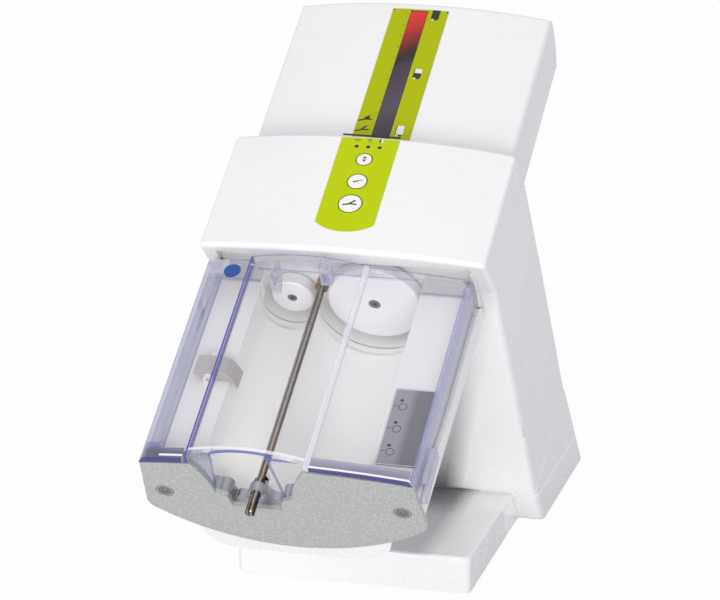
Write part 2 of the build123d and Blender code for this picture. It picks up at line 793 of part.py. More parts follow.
def make_bay_body():
    outer = bay_form(0)
    body = outer - bay_form(wall)
    inner_x = tray_half_width + slip_gap
    body -= bay_side_cut(inner_x - 3.5, 100)
    body -= block((-100, -inner_x + 3.5), (-10, 210), (lid_low_h - 1.3, 20))
    body -= block((-inner_x, inner_x), (behind_front_wall + 6, 210), (-10, 20))
    rear_start = lid_length + 5.5
    rear_low = bay_low_rear_h - 1.5
    rear_edges = [
        Line((rear_start - 3, -20), (rear_start, lid_low_h)),
        ThreePointArc(
            (rear_start, lid_low_h), (rear_start + 8.6, -43), (rear_start + 3.5, rear_low)
        ),
        Line((rear_start + 3.5, rear_low), (210, rear_low)),
        Line((210, rear_low), (210, -20)),
        Line((210, -20), (rear_start - 3, -20)),
    ]
    liner_out = tray_half_width + 1.4
    for side_sign in (-1, 1):
        liner_x = sorted((side_sign * (tray_half_width + 0.4), side_sign * (liner_out + 1.1)))
        liner = block(liner_x, (lid_length + 9.8, 210), (bay_low_rear_h - 5, -4))
        liner += block(liner_x, (rear_start - 0.5, 210), (bay_low_rear_h - 5, lid_low_h - 1.4))
        body += liner & bay_form(0)
        cut_x = sorted((side_sign * liner_out, side_sign * 100))
        side = Plane(origin=(cut_x[0], 0, 0), x_dir=(0, 1, 0), z_dir=(1, 0, 0))
        body -= push_x(side * Face(Wire(rear_edges)), cut_x[1] - cut_x[0])
    body -= housing_form(-slip_gap)
    body -= lean * along(standing(notch_outline(4.0)), 0, 14)
    body -= lean * horn_rods(0.9, 0, 14)
    body -= lean * screw_ways()
    body -= lean * block((-inner_x, inner_x), (behind_front_wall, 14), (-12.5, 20))
    for start in (hinge_front_s, hinge_rear_s):
        lid_ends = (start + knuckle_length, start + knuckle_length * 2 + 2 * slip_gap)
        body -= rod(hinge_x, hinge_h, knuckle_r + 0.6, *lid_ends)
        for ends in ((start, lid_ends[0]), (lid_ends[1], lid_ends[1] + knuckle_length)):
            body += rod(hinge_x, hinge_h, knuckle_r, *ends)
            body += block((hinge_x - knuckle_r, -bay_half_width + 1.5), ends, (hinge_h - 8, hinge_h))
            body -= rod(hinge_x, hinge_h, hinge_pin_r, *ends)
    return body


def make_hinge_pins():
    pins = [
        rod(hinge_x, hinge_h, hinge_pin_r, start, start + 3 * knuckle_length + 2 * slip_gap)
        for start in (hinge_front_s, hinge_rear_s)
    ]
    return Compound(children=pins)


def trough_void(grow):
    """The two cartridge troughs and the low crest between them."""
    rear = tray_rear_s
    front = -5.0
    void = rod(small_x, axis_h, small_trough_r + grow, front, rear)
    void += rod(large_x, axis_h, large_trough_r + grow, front, rear)
    void += block((small_x - small_trough_r - grow, small_x), (front, rear), (axis_h, 30))
    void += block((large_x, large_x + large_trough_r + grow), (front, rear), (axis_h, 30))
    void += block((small_x, large_x), (front, rear), (crest_h - grow, 30))
    return void


lever_x = -60.5
lever_h = -9.6
lever_s = (76.0, 89.0)
lever_pin_r = 1.5


def make_tray():
    skin_thick = 2.2
    side_low_h = -38.0
    half = tray_half_width
    top = block((-half, half), (0, tray_rear_s + skin_thick), (side_low_h, land_h))
    inside = block(
        (-half + skin_thick, half - skin_thick), (-5, tray_rear_s), (-60, land_h - skin_thick)
    )
    rim_void = Part()
    rim_shell = Part()
    ends = Part()
    for x, radius in ((small_x, small_trough_r), (large_x, large_trough_r)):
        for step_r, step_s in rim_steps:
            rim_void += rod(x, axis_h, radius + step_r, step_s, tray_rear_s)
            rim_shell += rod(
                x, axis_h, radius + step_r + skin_thick, step_s - skin_thick, tray_rear_s + 1
            )
        ends += rod(x, axis_h, radius + skin_thick, tray_front_s, tray_front_s + 2.5)
    below_land = block((-half, half), (-5, tray_rear_s + 1), (-90, land_h))
    shells = (trough_void(skin_thick) + rim_shell) & below_land
    rear_wall = block((-half, half), (tray_rear_s, tray_rear_s + skin_thick), (side_low_h - 8, -1))
    wall_low_h = axis_h - large_trough_r - rim_steps[-1][0] - skin_thick - 1
    rear_wall += block((-54, 54), (tray_rear_s, tray_rear_s + skin_thick), (wall_low_h, side_low_h))
    tray = (top - inside) + shells + rear_wall - trough_void(0) - (rim_void & below_land)
    tray -= lean * block((-120, 120), (-60, tray_front_s), (-150, 30))
    ends += block((-half + 1, half - 1), (tray_front_s, tray_front_s + 2.5), (side_low_h + 1, land_h))
    tray += lean * (ends & below_land)
    tray -= lean * along(standing(notch_outline(3.2)), 0, 22)
    tray -= lean * horn_rods(0.6, 0, 13)
    tray -= lean * screw_ways()
    for x in (-half - 1.4, half):
        tray += block((x, x + 1.4), (24, tray_rear_s - 12), (side_low_h, side_low_h + 3))
    for x, h, radius in (
        (small_x, axis_h, small_rod_r),
        (large_x, axis_h, large_rod_r),
        (shaft_x, shaft_h, collar_r),
    ):
        tray -= rod(x, h, radius + 0.7, tray_rear_s - 5, tray_rear_s + 5)
    for ends in ((lever_s[0] - 3, lever_s[0] - slip_gap), (lever_s[1] + slip_gap, lever_s[1] + 3)):
        ear = block((lever_x - 3, lever_x + 3), ends, (land_h - 0.5, lever_h))
        ear += rod(lever_x, lever_h, 3, *ends)
        tray += ear - rod(lever_x, lever_h, lever_pin_r, *ends)
    return tray


keep("bay_body", make_bay_body())
keep("bay_tray", make_tray())
keep("lid_hinge_pins", make_hinge_pins())


# Small fittings of the bay
def make_front_seal():
    """Two soft strips on the tray's front edge, either side of the notch."""
    strips = [
        block((-tray_half_width + 3, notch_x - notch_half_top - 3), seal_s, seal_h),
        block((notch_x + notch_half_top + 3, tray_half_width - 3), seal_s, seal_h),
    ]
    return Compound(children=strips)


def make_release_lever():
    """Rocking lever whose finger hooks over the small cartridge's flange."""
    profile = polygon(
        [
            (-70.5, -8.9),
            (-69.4, -6.8),
            (-66.5, -5.9),
            (-54.0, -5.5),
            (-50.2, -6.6),
            (-47.4, -9.8),
            (-45.4, -14.0),
            (-43.9, -18.4),
            (-45.0, -19.8),
            (-48.2, -12.9),
            (-52.0, -12.5),
            (-60.5, -12.9),
        ]
    )
    profile = profile.fillet_2d(0.5, profile.vertices())
    lever = along(standing(profile), *lever_s)
    lever = fillet(lever.faces().sort_by(Axis.Y)[0].edges(), 0.7)
    lever = fillet(lever.faces().sort_by(Axis.Y)[-1].edges(), 0.7)
    return lever - rod(lever_x, lever_h, lever_pin_r + running_gap, *lever_s)


seal_s = (tray_front_s + 0.2, tray_front_s + 3.2)
seal_h = (land_h, -3.0)
info_plate_x = (tray_half_width - 26.3, tray_half_width - 1.5)
info_plate_s = (24.0, 82.0)
info_plate_thick = 0.7
keep("front_seal", lean * make_front_seal())
info_outline = Pos(sum(info_plate_x) / 2, sum(info_plate_s) / 2) * RectangleRounded(
    info_plate_x[1] - info_plate_x[0], info_plate_s[1] - info_plate_s[0], 1.5
)
keep("info_plate", upright(info_outline, land_h, land_h + info_plate_thick))
keep("release_lever", make_release_lever())
keep("lever_pin", rod(lever_x, lever_h, lever_pin_r, lever_s[0] - 3, lever_s[1] + 3))


# Carriage: plungers, push rods, yoke and nut, which travel together
yoke_x = (-43.0, 29.0)
yoke_h = (-48.0, -13.0)
nut_r = 8.5
nut_flange = 4.0
rod_front_s = plunger_face_s + 5
rod_rear_s = yoke_s + yoke_thick
plunger_set = (
    ("large_plunger", "large_rod", large_x, large_plunger_r, large_rod_r, 3.5),
    ("small_plunger", "small_rod", small_x, small_plunger_r, small_rod_r, 2.75),
)


def make_plunger(x, radius, rod_radius, screw_head_r):
    """Push disc with a chamfered face, a counterbore for its screw and a socket behind."""
    disc = rod(x, axis_h, radius, plunger_face_s, plunger_face_s + plunger_thick)
    disc = chamfer(disc.edges().filter_by(GeomType.CIRCLE).group_by(Axis.Y)[0], 1.0)
    disc -= rod(x, axis_h, screw_head_r + 0.3, plunger_face_s - 1, plunger_face_s + 2.6)
    disc -= rod(x, axis_h, screw_head_r * 0.58, plunger_face_s, rod_front_s)
    return disc - rod(x, axis_h, rod_radius, rod_front_s, rod_rear_s)


plunger_screws = []
for plunger_name, rod_name, x, radius, rod_radius, screw_head_r in plunger_set:
    keep(plunger_name, make_plunger(x, radius, rod_radius, screw_head_r))
    screw = rod(x, axis_h, screw_head_r, plunger_face_s + 0.2, plunger_face_s + 2.6)
    socket = Plane(origin=(x, plunger_face_s, axis_h), z_dir=(0, 1, 0)) * RegularPolygon(screw_head_r * 0.5, 6)
    screw -= extrude(socket, amount=1.8)
    shank_r = screw_head_r * 0.5
    screw += rod(x, axis_h, shank_r, plunger_face_s + 2.6, rod_front_s + 8)
    plunger_screws.append(screw)
    bar = rod(x, axis_h, rod_radius, rod_front_s, rod_rear_s)
    keep(rod_name, bar - rod(x, axis_h, shank_r, rod_front_s, rod_front_s + 8))
keep("plunger_screws", Compound(children=plunger_screws))


def make_yoke():
    yoke = block(yoke_x, (yoke_s, rod_rear_s), yoke_h)
    yoke = fillet(yoke.edges().filter_by(Axis.Y), 5)
    for _, _, x, _, rod_radius, _ in plunger_set:
        yoke -= rod(x, axis_h, rod_radius, yoke_s - 1, rod_rear_s + 1)
    return yoke - rod(spindle_x, spindle_h, nut_r, yoke_s - 1, rod_rear_s + 1)


def make_spindle_nut():
    nut = rod(spindle_x, spindle_h, nut_r, yoke_s, rod_rear_s)
    nut += rod(spindle_x, spindle_h, nut_r + 3.5, yoke_s - nut_flange, yoke_s)
    return nut - rod(spindle_x, spindle_h, spindle_r + running_gap, yoke_s - 5, rod_rear_s + 1)


def make_level_marker():
    """Red flag under the level window, on a post from the yoke."""
    flag = block((-9, 9), (yoke_s - 7, yoke_s + 27), (-6.5, -4.5))
    flag = fillet(flag.edges().filter_by(Axis.Z), 2)
    return flag + block((-6, 6), (yoke_s + 2, yoke_s + 6), (yoke_h[1], -6.5))


keep("yoke", make_yoke())
keep("spindle_nut", make_spindle_nut())
keep("level_marker", make_level_marker())


# Feed drive: spindle, gear pair and motor
pressure_angle = 20.0
gear_backlash = 0.16


def gear_face(teeth, phase):
    """Toothed outline with one tooth centred on the angle phase."""
    pitch_r = gear_module * teeth / 2
    base_r = pitch_r * cos(radians(pressure_angle))
    tip_radius = pitch_r + gear_module
    root_r = pitch_r - 1.25 * gear_module
    start_r = max(base_r, root_r)
    pitch_half = (pi * gear_module / 2 - gear_backlash) / (2 * pitch_r)
    rolled = tan(radians(pressure_angle)) - radians(pressure_angle)
    flank = []
    for step in range(4):
        radius = start_r + (tip_radius - start_r) * step / 3
        angle = acos(base_r / radius)
        flank.append((radius, pitch_half + rolled - (tan(angle) - angle)))
    if root_r < base_r:
        flank.insert(0, (root_r, flank[0][1] - 0.035))
    points = []
    for tooth in range(teeth):
        centre = radians(phase) + 2 * pi * tooth / teeth
        points += [(r * cos(centre - half), r * sin(centre - half)) for r, half in flank]
        points += [(r * cos(centre + half), r * sin(centre + half)) for r, half in reversed(flank)]
    return polygon(points)


gear_distance = gear_module * (spindle_teeth + pinion_teeth) / 2
pinion_x = spindle_x + gear_distance * cos(radians(pinion_angle))
pinion_h = spindle_h + gear_distance * sin(radians(pinion_angle))
drive_bulkhead_rear = drive_bulkhead_s + bulkhead_thick
rear_bulkhead_rear = rear_bulkhead_s + bulkhead_thick
spindle_journal_r = 3.5
pinion_shaft_r = 2.0
motor_shaft_r = 2.5


def make_spindle():
    """Feed spindle with its two journals."""
    spindle = rod(spindle_x, spindle_h, spindle_r, drive_bulkhead_rear + 0.2, rear_bulkhead_s - 0.2)
    spindle += rod(spindle_x, spindle_h, spindle_journal_r, gear_s - 1.6, rear_bulkhead_rear + 1)
    return spindle


def make_spindle_gear():
    face = Pos(spindle_x, spindle_h) * gear_face(spindle_teeth, pinion_angle)
    gear = along(standing(face), gear_s, gear_s + gear_width)
    gear += rod(spindle_x, spindle_h, 7, gear_s, drive_bulkhead_s - 0.2)
    return gear - rod(spindle_x, spindle_h, spindle_journal_r, gear_s - 1, drive_bulkhead_s)


def make_feed_pinion():
    """Pinion cut on the motor's shaft."""
    face = Pos(pinion_x, pinion_h) * gear_face(pinion_teeth, pinion_angle + 180 + 180 / pinion_teeth)
    pinion = along(standing(face), gear_s - 0.5, gear_s + gear_width + 0.5)
    return pinion + rod(pinion_x, pinion_h, pinion_shaft_r, gear_s - 1, drive_bulkhead_rear + 18)


def make_motor(x, h, radius, length, shaft_radius):
    """Cased motor with a front boss and a rear terminal cap, bored for its shaft."""
    motor = rod(x, h, radius, drive_bulkhead_rear, drive_bulkhead_rear + length)
    motor = fillet(motor.edges().filter_by(GeomType.CIRCLE), 1.5)
    motor += rod(x, h, radius * 0.4, drive_bulkhead_rear + length, drive_bulkhead_rear + length + 4)
    return motor - rod(x, h, shaft_radius + running_gap, drive_bulkhead_rear - 1, drive_bulkhead_rear + 20)


keep("feed_spindle", make_spindle())
keep("spindle_gear", make_spindle_gear())
keep("feed_pinion", make_feed_pinion())
feed_motor_length = yoke_s - nut_flange - feed_travel - 2.0 - drive_bulkhead_rear
keep("feed_motor", make_motor(pinion_x, pinion_h, feed_motor_r, feed_motor_length, pinion_shaft_r))


# Mixing drive: shaft, pulleys, belt and motor
collar_s = (165.0, 172.0)
tip_rear_s = plate_thick + cradle_depth + 1
pulley_flange_r = pulley_r + 1.5
pulley_s = (belt_s - 1.0, belt_s + belt_width + 1.0)


def make_mixer_shaft():
    """Hexagonal shaft with a round slotted nose, a collar and a journal."""
    nose = rod(shaft_x, shaft_h, tip_r, shaft_tip_s, tip_shoulder_s + 1)
    nose = chamfer(nose.edges().filter_by(GeomType.CIRCLE).group_by(Axis.Y)[0], 0.6)
    nose -= block((shaft_x - 0.5, shaft_x + 0.5), (shaft_tip_s - 1, shaft_tip_s + 6), (shaft_h - 5, shaft_h + 5))
    nose += rod(shaft_x, shaft_h, tip_journal_r, tip_shoulder_s, tip_rear_s)
    hexagon = RegularPolygon(shaft_flats / 2, 6, major_radius=False)
    flats = along(standing(Pos(shaft_x, shaft_h) * hexagon), tip_rear_s, collar_s[0])
    return nose + flats + rod(shaft_x, shaft_h, journal_r, collar_s[0], pulley_s[1] + 0.5)


def make_shaft_collar():
    collar = rod(shaft_x, shaft_h, collar_r + 1, collar_s[0] + 0.5, collar_s[1])
    return collar - rod(shaft_x, shaft_h, journal_r, *collar_s)


def make_pulley(x, h, bore_r):
    pulley = rod(x, h, pulley_flange_r, *pulley_s)
    groove = rod(x, h, pulley_flange_r + 1, belt_s - 0.2, belt_s + belt_width + 0.2)
    pulley -= groove - rod(x, h, pulley_r, pulley_s[0], pulley_s[1])
    return pulley - rod(x, h, bore_r, pulley_s[0] - 1, pulley_s[1] + 1)


def make_belt():
    """Flat belt round both pulleys, a hair clear of them."""
    solids = []
    for radius in (pulley_r + slip_gap + belt_thick, pulley_r + slip_gap):
        loop = rod(shaft_x, shaft_h, radius, belt_s, belt_s + belt_width)
        loop += rod(shaft_x, mixer_motor_h, radius, belt_s, belt_s + belt_width)
        loop += block((shaft_x - radius, shaft_x + radius), (belt_s, belt_s + belt_width), (mixer_motor_h, shaft_h))
        solids.append(loop)
    return solids[0] - solids[1]


keep("mixer_shaft", make_mixer_shaft())
keep("shaft_collar", make_shaft_collar())
keep("shaft_pulley", make_pulley(shaft_x, shaft_h, journal_r))
keep("motor_pulley", make_pulley(shaft_x, mixer_motor_h, motor_shaft_r))
keep("motor_shaft", rod(shaft_x, mixer_motor_h, motor_shaft_r, pulley_s[0] - 1, drive_bulkhead_rear + 18))
keep("mixer_belt", make_belt())
keep("mixer_motor", make_motor(shaft_x, mixer_motor_h, mixer_motor_r, 54, motor_shaft_r))


# Bulkheads, bushes and the frame that carries them
tie_x = 60.0
tie_h = -30.0
spacer_r = 4.0
spacer_places = ((-tie_x, tie_h), (tie_x, tie_h), (-44.0, -72.0), (44.0, -72.0))
cheek_x = (console_half_width - 8.5, console_half_width - 6.0)
bush_wall = 2.0


def make_front_bulkhead():
    half = tray_half_width + 0.1
    plate = bay_form(wall + way_gap + slip_gap) & block(
        (-half, half), (bulkhead_s, bulkhead_s + bulkhead_thick), (belly_low_h, -4)
    )
    for _, _, x, _, rod_radius, _ in plunger_set:
        plate -= rod(x, axis_h, rod_radius + bush_wall, bulkhead_s - 1, bulkhead_s + 5)
    return plate - rod(shaft_x, shaft_h, journal_r + bush_wall, bulkhead_s - 1, bulkhead_s + 5)


def make_drive_bulkhead():
    half = cheek_x[0] - slip_gap
    plate = block((-half, half), (drive_bulkhead_s, drive_bulkhead_rear), (-112, -6))
    for _, _, x, _, rod_radius, _ in plunger_set:
        plate -= rod(x, axis_h, rod_radius + 0.6, drive_bulkhead_s - 1, drive_bulkhead_rear + 1)
    holes = (
        (spindle_x, spindle_h, spindle_journal_r + running_gap),
        (pinion_x, pinion_h, pinion_shaft_r + 0.6),
        (shaft_x, mixer_motor_h, motor_shaft_r + 0.6),
    )
    for x, h, radius in holes:
        plate -= rod(x, h, radius, drive_bulkhead_s - 1, drive_bulkhead_rear + 1)
    return plate


def make_rear_bulkhead():
    plate = block((-72, 72), (rear_bulkhead_s, rear_bulkhead_rear), (-48, -16))
    return plate - rod(
        spindle_x, spindle_h, spindle_journal_r + running_gap, rear_bulkhead_s - 1, rear_bulkhead_rear + 1
    )


def make_bushes():
    """Flanged bushes in the front bulkhead for both rods and the shaft."""
    bushes = []
    places = [(x, axis_h, rod_radius) for _, _, x, _, rod_radius, _ in plunger_set]
    for x, h, radius in places + [(shaft_x, shaft_h, journal_r)]:
        bush = rod(x, h, radius + bush_wall, bulkhead_s - 1.2, bulkhead_s + bulkhead_thick)
        bush += rod(x, h, radius + bush_wall + 1.2, bulkhead_s + bulkhead_thick, bulkhead_s + bulkhead_thick + 1.4)
        bushes.append(bush - rod(x, h, radius + running_gap, bulkhead_s - 3, bulkhead_s + 9))
    return Compound(children=bushes)


def make_cheeks():
    """Side cheeks that stand on the base pan and carry the drive bulkhead."""
    front_foot_point = to_unit(base_front_y + 6.1, pan_top_z + slip_gap)
    rear_foot_point = to_unit(base_rear_y - 42.3, pan_top_z + slip_gap)
    points = [
        (200, -12),
        (212, -12),
        (236, -60),
        (262, -110),
        (268, -222),
        rear_foot_point,
        front_foot_point,
        (204, -222),
        (196, -110),
        (200, -60),
    ]
    cheeks = [across(points, *cheek_x), across(points, -cheek_x[1], -cheek_x[0])]
    return Compound(children=cheeks)


pan_top_z = 6.0
pan_thick = 2.0
keep("front_bulkhead", make_front_bulkhead())
keep("drive_bulkhead", make_drive_bulkhead())
keep("rear_bulkhead", make_rear_bulkhead())
keep("bushes", make_bushes())
spacers = [rod(x, h, spacer_r, bulkhead_s + bulkhead_thick, drive_bulkhead_s) for x, h in spacer_places]
keep("spacers", Compound(children=spacers))
tie_rods = [rod(x, tie_h, spacer_r, drive_bulkhead_rear, rear_bulkhead_s) for x in (-tie_x, tie_x)]
keep("tie_rods", Compound(children=tie_rods))
keep("column_frame", make_cheeks())


# Base: skirt under the column, foot in front, pan, feet and mains parts
def base_side(points, x_start, x_end):
    """A polygon in y (from the unit's origin) and z, pushed along x."""
    side = Plane(origin=(x_start, unit_front, 0), x_dir=(0, 1, 0), z_dir=(1, 0, 0))
    return push_x(side * polygon(points), x_end - x_start)


def base_block(x, y, z):
    """A block in world x and z, with y from the unit's origin."""
    return block(x, (y[0] + unit_front, y[1] + unit_front), z)


def on_line(start, end, share):
    return (start[0] + share * (end[0] - start[0]), start[1] + share * (end[1] - start[1]))


base_front = (base_front_y, base_clear)
base_rear = (base_rear_y, base_clear)


def skirt_points(inset, extend):
    """Quad of the skirt's side view; inset moves the sloping walls inwards."""
    front_shift = inset * hypot(base_front_y - seam_front[0], seam_front[1]) / seam_front[1]
    rear_shift = inset * hypot(base_rear_y - seam_rear[0], seam_rear[1]) / seam_rear[1]
    quad = []
    for start, end, shift in ((seam_front, base_front, front_shift), (base_rear, seam_rear, -rear_shift)):
        for share in (-extend, 1 + extend):
            y, z = on_line(start, end, share)
            quad.append((y + shift, z))
    return quad


def make_skirt():
    outer = base_side(skirt_points(0, 0), -base_half_width, base_half_width)
    corners = outer.edges().filter_by(lambda e: abs(e.tangent_at(0.5).X) < 0.1)
    corners = corners.filter_by(lambda e: abs(e.tangent_at(0.5).Z) > 0.6)
    outer = fillet(corners, housing_corner_r)
    half = base_half_width - wall
    skirt = outer - base_side(skirt_points(wall, 0.3), -half, half)
    pan_way = base_block((-foot_half_width, foot_half_width), (270, 320), (-1, pan_top_z + 1))
    skirt -= pan_way
    for x, size in ((inlet_x, inlet_size), (switch_x, switch_size)):
        opening = Pos(x, 0, 0) * Rectangle(size[0] + 2 * slip_gap, size[1] + 2 * slip_gap)
        skirt -= extrude(rear_plane * opening, amount=12, both=True)
    return skirt


def make_front_foot():
    outer = base_block((-foot_half_width, foot_half_width), (foot_front_y, base_front_y + 10), (base_clear, foot_height))
    upright_edges = outer.edges().filter_by(Axis.Z).sort_by(Axis.Y)[:2]
    outer = fillet(upright_edges, foot_corner_r)
    outer = fillet(outer.faces().sort_by(Axis.Z)[-1].edges().sort_by(Axis.Y)[:-1], foot_rim_r)
    half = foot_half_width - wall
    inner = base_block((-half, half), (foot_front_y + wall, base_front_y + 20), (-2, foot_height - wall))
    inner = fillet(inner.edges().filter_by(Axis.Z).sort_by(Axis.Y)[:2], foot_corner_r / 4)
    foot = outer - inner
    behind = skirt_points(-slip_gap, 0.6)
    far_y = base_rear_y + 24.3
    return foot - base_side([behind[0], behind[1], (far_y, -30), (far_y, 80)], -120, 120)


mains_mid = on_line(base_rear, seam_rear, 0.47)
mains_slope = atan2(seam_rear[1] - base_clear, base_rear_y - seam_rear[0])
rear_plane = Plane(
    origin=(0, mains_mid[0] + unit_front, mains_mid[1]),
    x_dir=(1, 0, 0),
    z_dir=(0, sin(mains_slope), cos(mains_slope)),
)
switch_size = (20.0, 28.0)
mains_depth = 20.0


def mains_box(x, width, height, low, high):
    """A block on the skirt's rear slope: low and high are heights over its surface."""
    return rear_plane * (Pos(x, 0, (low + high) / 2) * Box(width, height, high - low))


def make_inlet():
    """Three-pin appliance inlet."""
    body = mains_box(inlet_x, inlet_size[0], inlet_size[1], -mains_depth, 0)
    body += mains_box(inlet_x, inlet_size[0] + 7, inlet_size[1] + 6, 0, 1.8)
    body -= mains_box(inlet_x, inlet_size[0] - 6, inlet_size[1] - 7, -mains_depth + 3, 5)
    for x, y in ((-7, -1.5), (0, 2.5), (7, -1.5)):
        pin = rear_plane * (Pos(inlet_x + x, y, -mains_depth + 8.5) * Box(2, 4.5, 12))
        body += pin
    return body


rocker_r = 7.5
rocker_axis = -1.5


def make_switch_body():
    body = mains_box(switch_x, switch_size[0], switch_size[1], -mains_depth + 2, 0)
    body += mains_box(switch_x, switch_size[0] + 4, switch_size[1] + 4, 0, 1.8)
    body -= mains_box(switch_x, 13.6, 22.4, -9.5, 5)
    pivot = Plane(rear_plane.location * Location((switch_x, 0, rocker_axis)))
    pin = Pos(0, 0, -8) * Cylinder(1.2, 16)
    return body + pivot * (Rot(0, 90, 0) * Cylinder(1.2, 16))


def make_rocker():
    """Rocker cap, shown with its lower half pressed."""
    points = [(-10.6, -2.5), (-10.6, 2.6), (0, 4.6), (10.6, 2.6), (10.6, -2.5), (3, -6.4), (-3, -6.4)]
    side = Plane(origin=(-6.5, 0, 0), x_dir=(0, 1, 0), z_dir=(1, 0, 0))
    cap = push_x(side * polygon(points), 13)
    cap -= Rot(0, 90, 0) * Cylinder(1.2 + running_gap, 20)
    pivot = Plane(rear_plane.location * Location((switch_x, 0, rocker_axis)))
    return pivot * (Rot(-9, 0, 0) * cap)


def make_base_pan():
    half_foot = foot_half_width - wall - 1
    half_skirt = base_half_width - wall - 1
    pan = base_block((-half_foot, half_foot), (foot_front_y + wall + 6, 330), (pan_top_z - pan_thick, pan_top_z))
    pan += base_block((-half_skirt, half_skirt), (base_front_y + 4.6, base_rear_y - 10.7), (pan_top_z - pan_thick, pan_top_z))
    for x, y in pan_screw_places:
        pan -= Pos(x, y + unit_front, 0) * Cylinder(1.6, 30)
    return pan


feet_places = (
    (-foot_half_width + 16.7, foot_front_y + 21.8),
    (foot_half_width - 16.7, foot_front_y + 21.8),
    (-base_half_width + 17.6, base_rear_y - 23.7),
    (base_half_width - 17.6, base_rear_y - 23.7),
)
pan_screw_places = feet_places


def make_rubber_feet():
    feet = []
    for x, y in feet_places:
        foot = Cylinder(foot_pad_r, pan_top_z - pan_thick, align=(Align.CENTER, Align.CENTER, Align.MIN))
        foot = chamfer(foot.edges().group_by(Axis.Z)[0], 1.0)
        foot -= Cylinder(3.2, 3.6)
        foot -= Cylinder(1.6, 30)
        feet.append(Pos(x, y + unit_front, 0) * foot)
    return Compound(children=feet)


def make_base_screws():
    screws = []
    low = (Align.CENTER, Align.CENTER, Align.MIN)
    for x, y in pan_screw_places:
        screw = Pos(0, 0, 0.5) * Cylinder(2.9, 1.3, align=low)
        screw += Pos(0, 0, 1.8) * Cylinder(1.5, 8, align=low)
        screws.append(Pos(x, y + unit_front, 0) * screw)
    return Compound(children=screws)


def make_power_supply():
    case = base_block((-20, 68), (base_rear_y - 111.7, base_rear_y - 53.7), (pan_top_z, pan_top_z + 22))
    return fillet(case.edges().filter_by(Axis.Z), 2)


for name, shape in (
    ("base_skirt", make_skirt()),
    ("front_foot", make_front_foot()),
    ("base_pan", make_base_pan()),
    ("rubber_feet", make_rubber_feet()),
    ("base_screws", make_base_screws()),
    ("power_supply", make_power_supply()),
    ("power_inlet", make_inlet()),
    ("switch_body", make_switch_body()),
    ("power_rocker", make_rocker()),
):
    keep(name, shape, frame=None)

os.makedirs("parts", exist_ok=True)
for name, shape in nodes.items():
    export_step(shape, f"parts/{name}.step")
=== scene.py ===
import json
from math import atan2, cos, radians, sin, sqrt
import bpy, bmesh
from mathutils import Matrix, Vector


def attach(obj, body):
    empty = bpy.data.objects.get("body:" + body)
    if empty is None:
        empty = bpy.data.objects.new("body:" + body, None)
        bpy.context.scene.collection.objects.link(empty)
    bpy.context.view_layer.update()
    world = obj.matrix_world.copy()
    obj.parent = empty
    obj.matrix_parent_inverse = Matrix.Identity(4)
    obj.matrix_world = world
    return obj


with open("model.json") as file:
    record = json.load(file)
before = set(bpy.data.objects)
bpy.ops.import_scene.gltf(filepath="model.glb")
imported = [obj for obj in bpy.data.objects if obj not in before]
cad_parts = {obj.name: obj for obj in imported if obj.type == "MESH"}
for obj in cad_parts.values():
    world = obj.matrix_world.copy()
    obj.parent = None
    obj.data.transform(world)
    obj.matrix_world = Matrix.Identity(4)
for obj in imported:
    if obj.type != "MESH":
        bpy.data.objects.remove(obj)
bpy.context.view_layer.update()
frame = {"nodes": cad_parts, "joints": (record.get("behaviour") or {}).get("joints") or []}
print("frame loaded:", len(frame["nodes"]), "nodes")

# The tilted unit: across, along the cartridges, out of the console's surface
unit = {"hinge": (-0.0829, 0.075, -0.0286)}  # the lid hinge's place in it
jointNamed = {joint["name"]: joint for joint in frame["joints"]}
acrossAxis = Vector((1, 0, 0))
alongAxis = -Vector(jointNamed["carriage_feed"]["axis"]).normalized()
outAxis = acrossAxis.cross(alongAxis)
unitTurn = Matrix((acrossAxis, alongAxis, outAxis)).transposed()
unitOrigin = Vector(jointNamed["lid_hinge"]["pos_m"]) - unitTurn @ Vector(unit["hinge"])
unitMatrix = Matrix.Translation(unitOrigin) @ unitTurn.to_4x4()
unitTilt = atan2(alongAxis.z, alongAxis.y)
mm = 0.001


# Camera at the photograph's angle
camera = {
    "target": (0.03396, -0.14815, 0.22122), "distance": 2.0729,
    "azimuth": 15.27, "elevation": 17.74, "roll": -0.16, "lens": 180.2, "sensor": 36, "clip": (0.05, 60),
}


def placeCamera(c):
    turn, rise, roll = radians(c["azimuth"]), radians(c["elevation"]), radians(c["roll"])
    back = Vector((sin(turn) * cos(rise), -cos(turn) * cos(rise), sin(rise)))
    level = Vector((cos(turn), sin(turn), 0))
    upright = back.cross(level)
    right = cos(roll) * level + sin(roll) * upright
    up = cos(roll) * upright - sin(roll) * level
    lens = bpy.data.cameras.new("photoLens")
    lens.lens = c["lens"]
    lens.sensor_width = c["sensor"]
    lens.clip_start, lens.clip_end = c["clip"]
    eye = bpy.data.objects.new("photoCamera", lens)
    eye.matrix_world = Matrix.Translation(Vector(c["target"]) + back * c["distance"]) @ \
        Matrix((right, up, back)).transposed().to_4x4()
    bpy.context.scene.collection.objects.link(eye)
    bpy.context.scene.camera = eye


placeCamera(camera)
bpy.context.scene.view_settings.view_transform = "Standard"
print("camera placed")


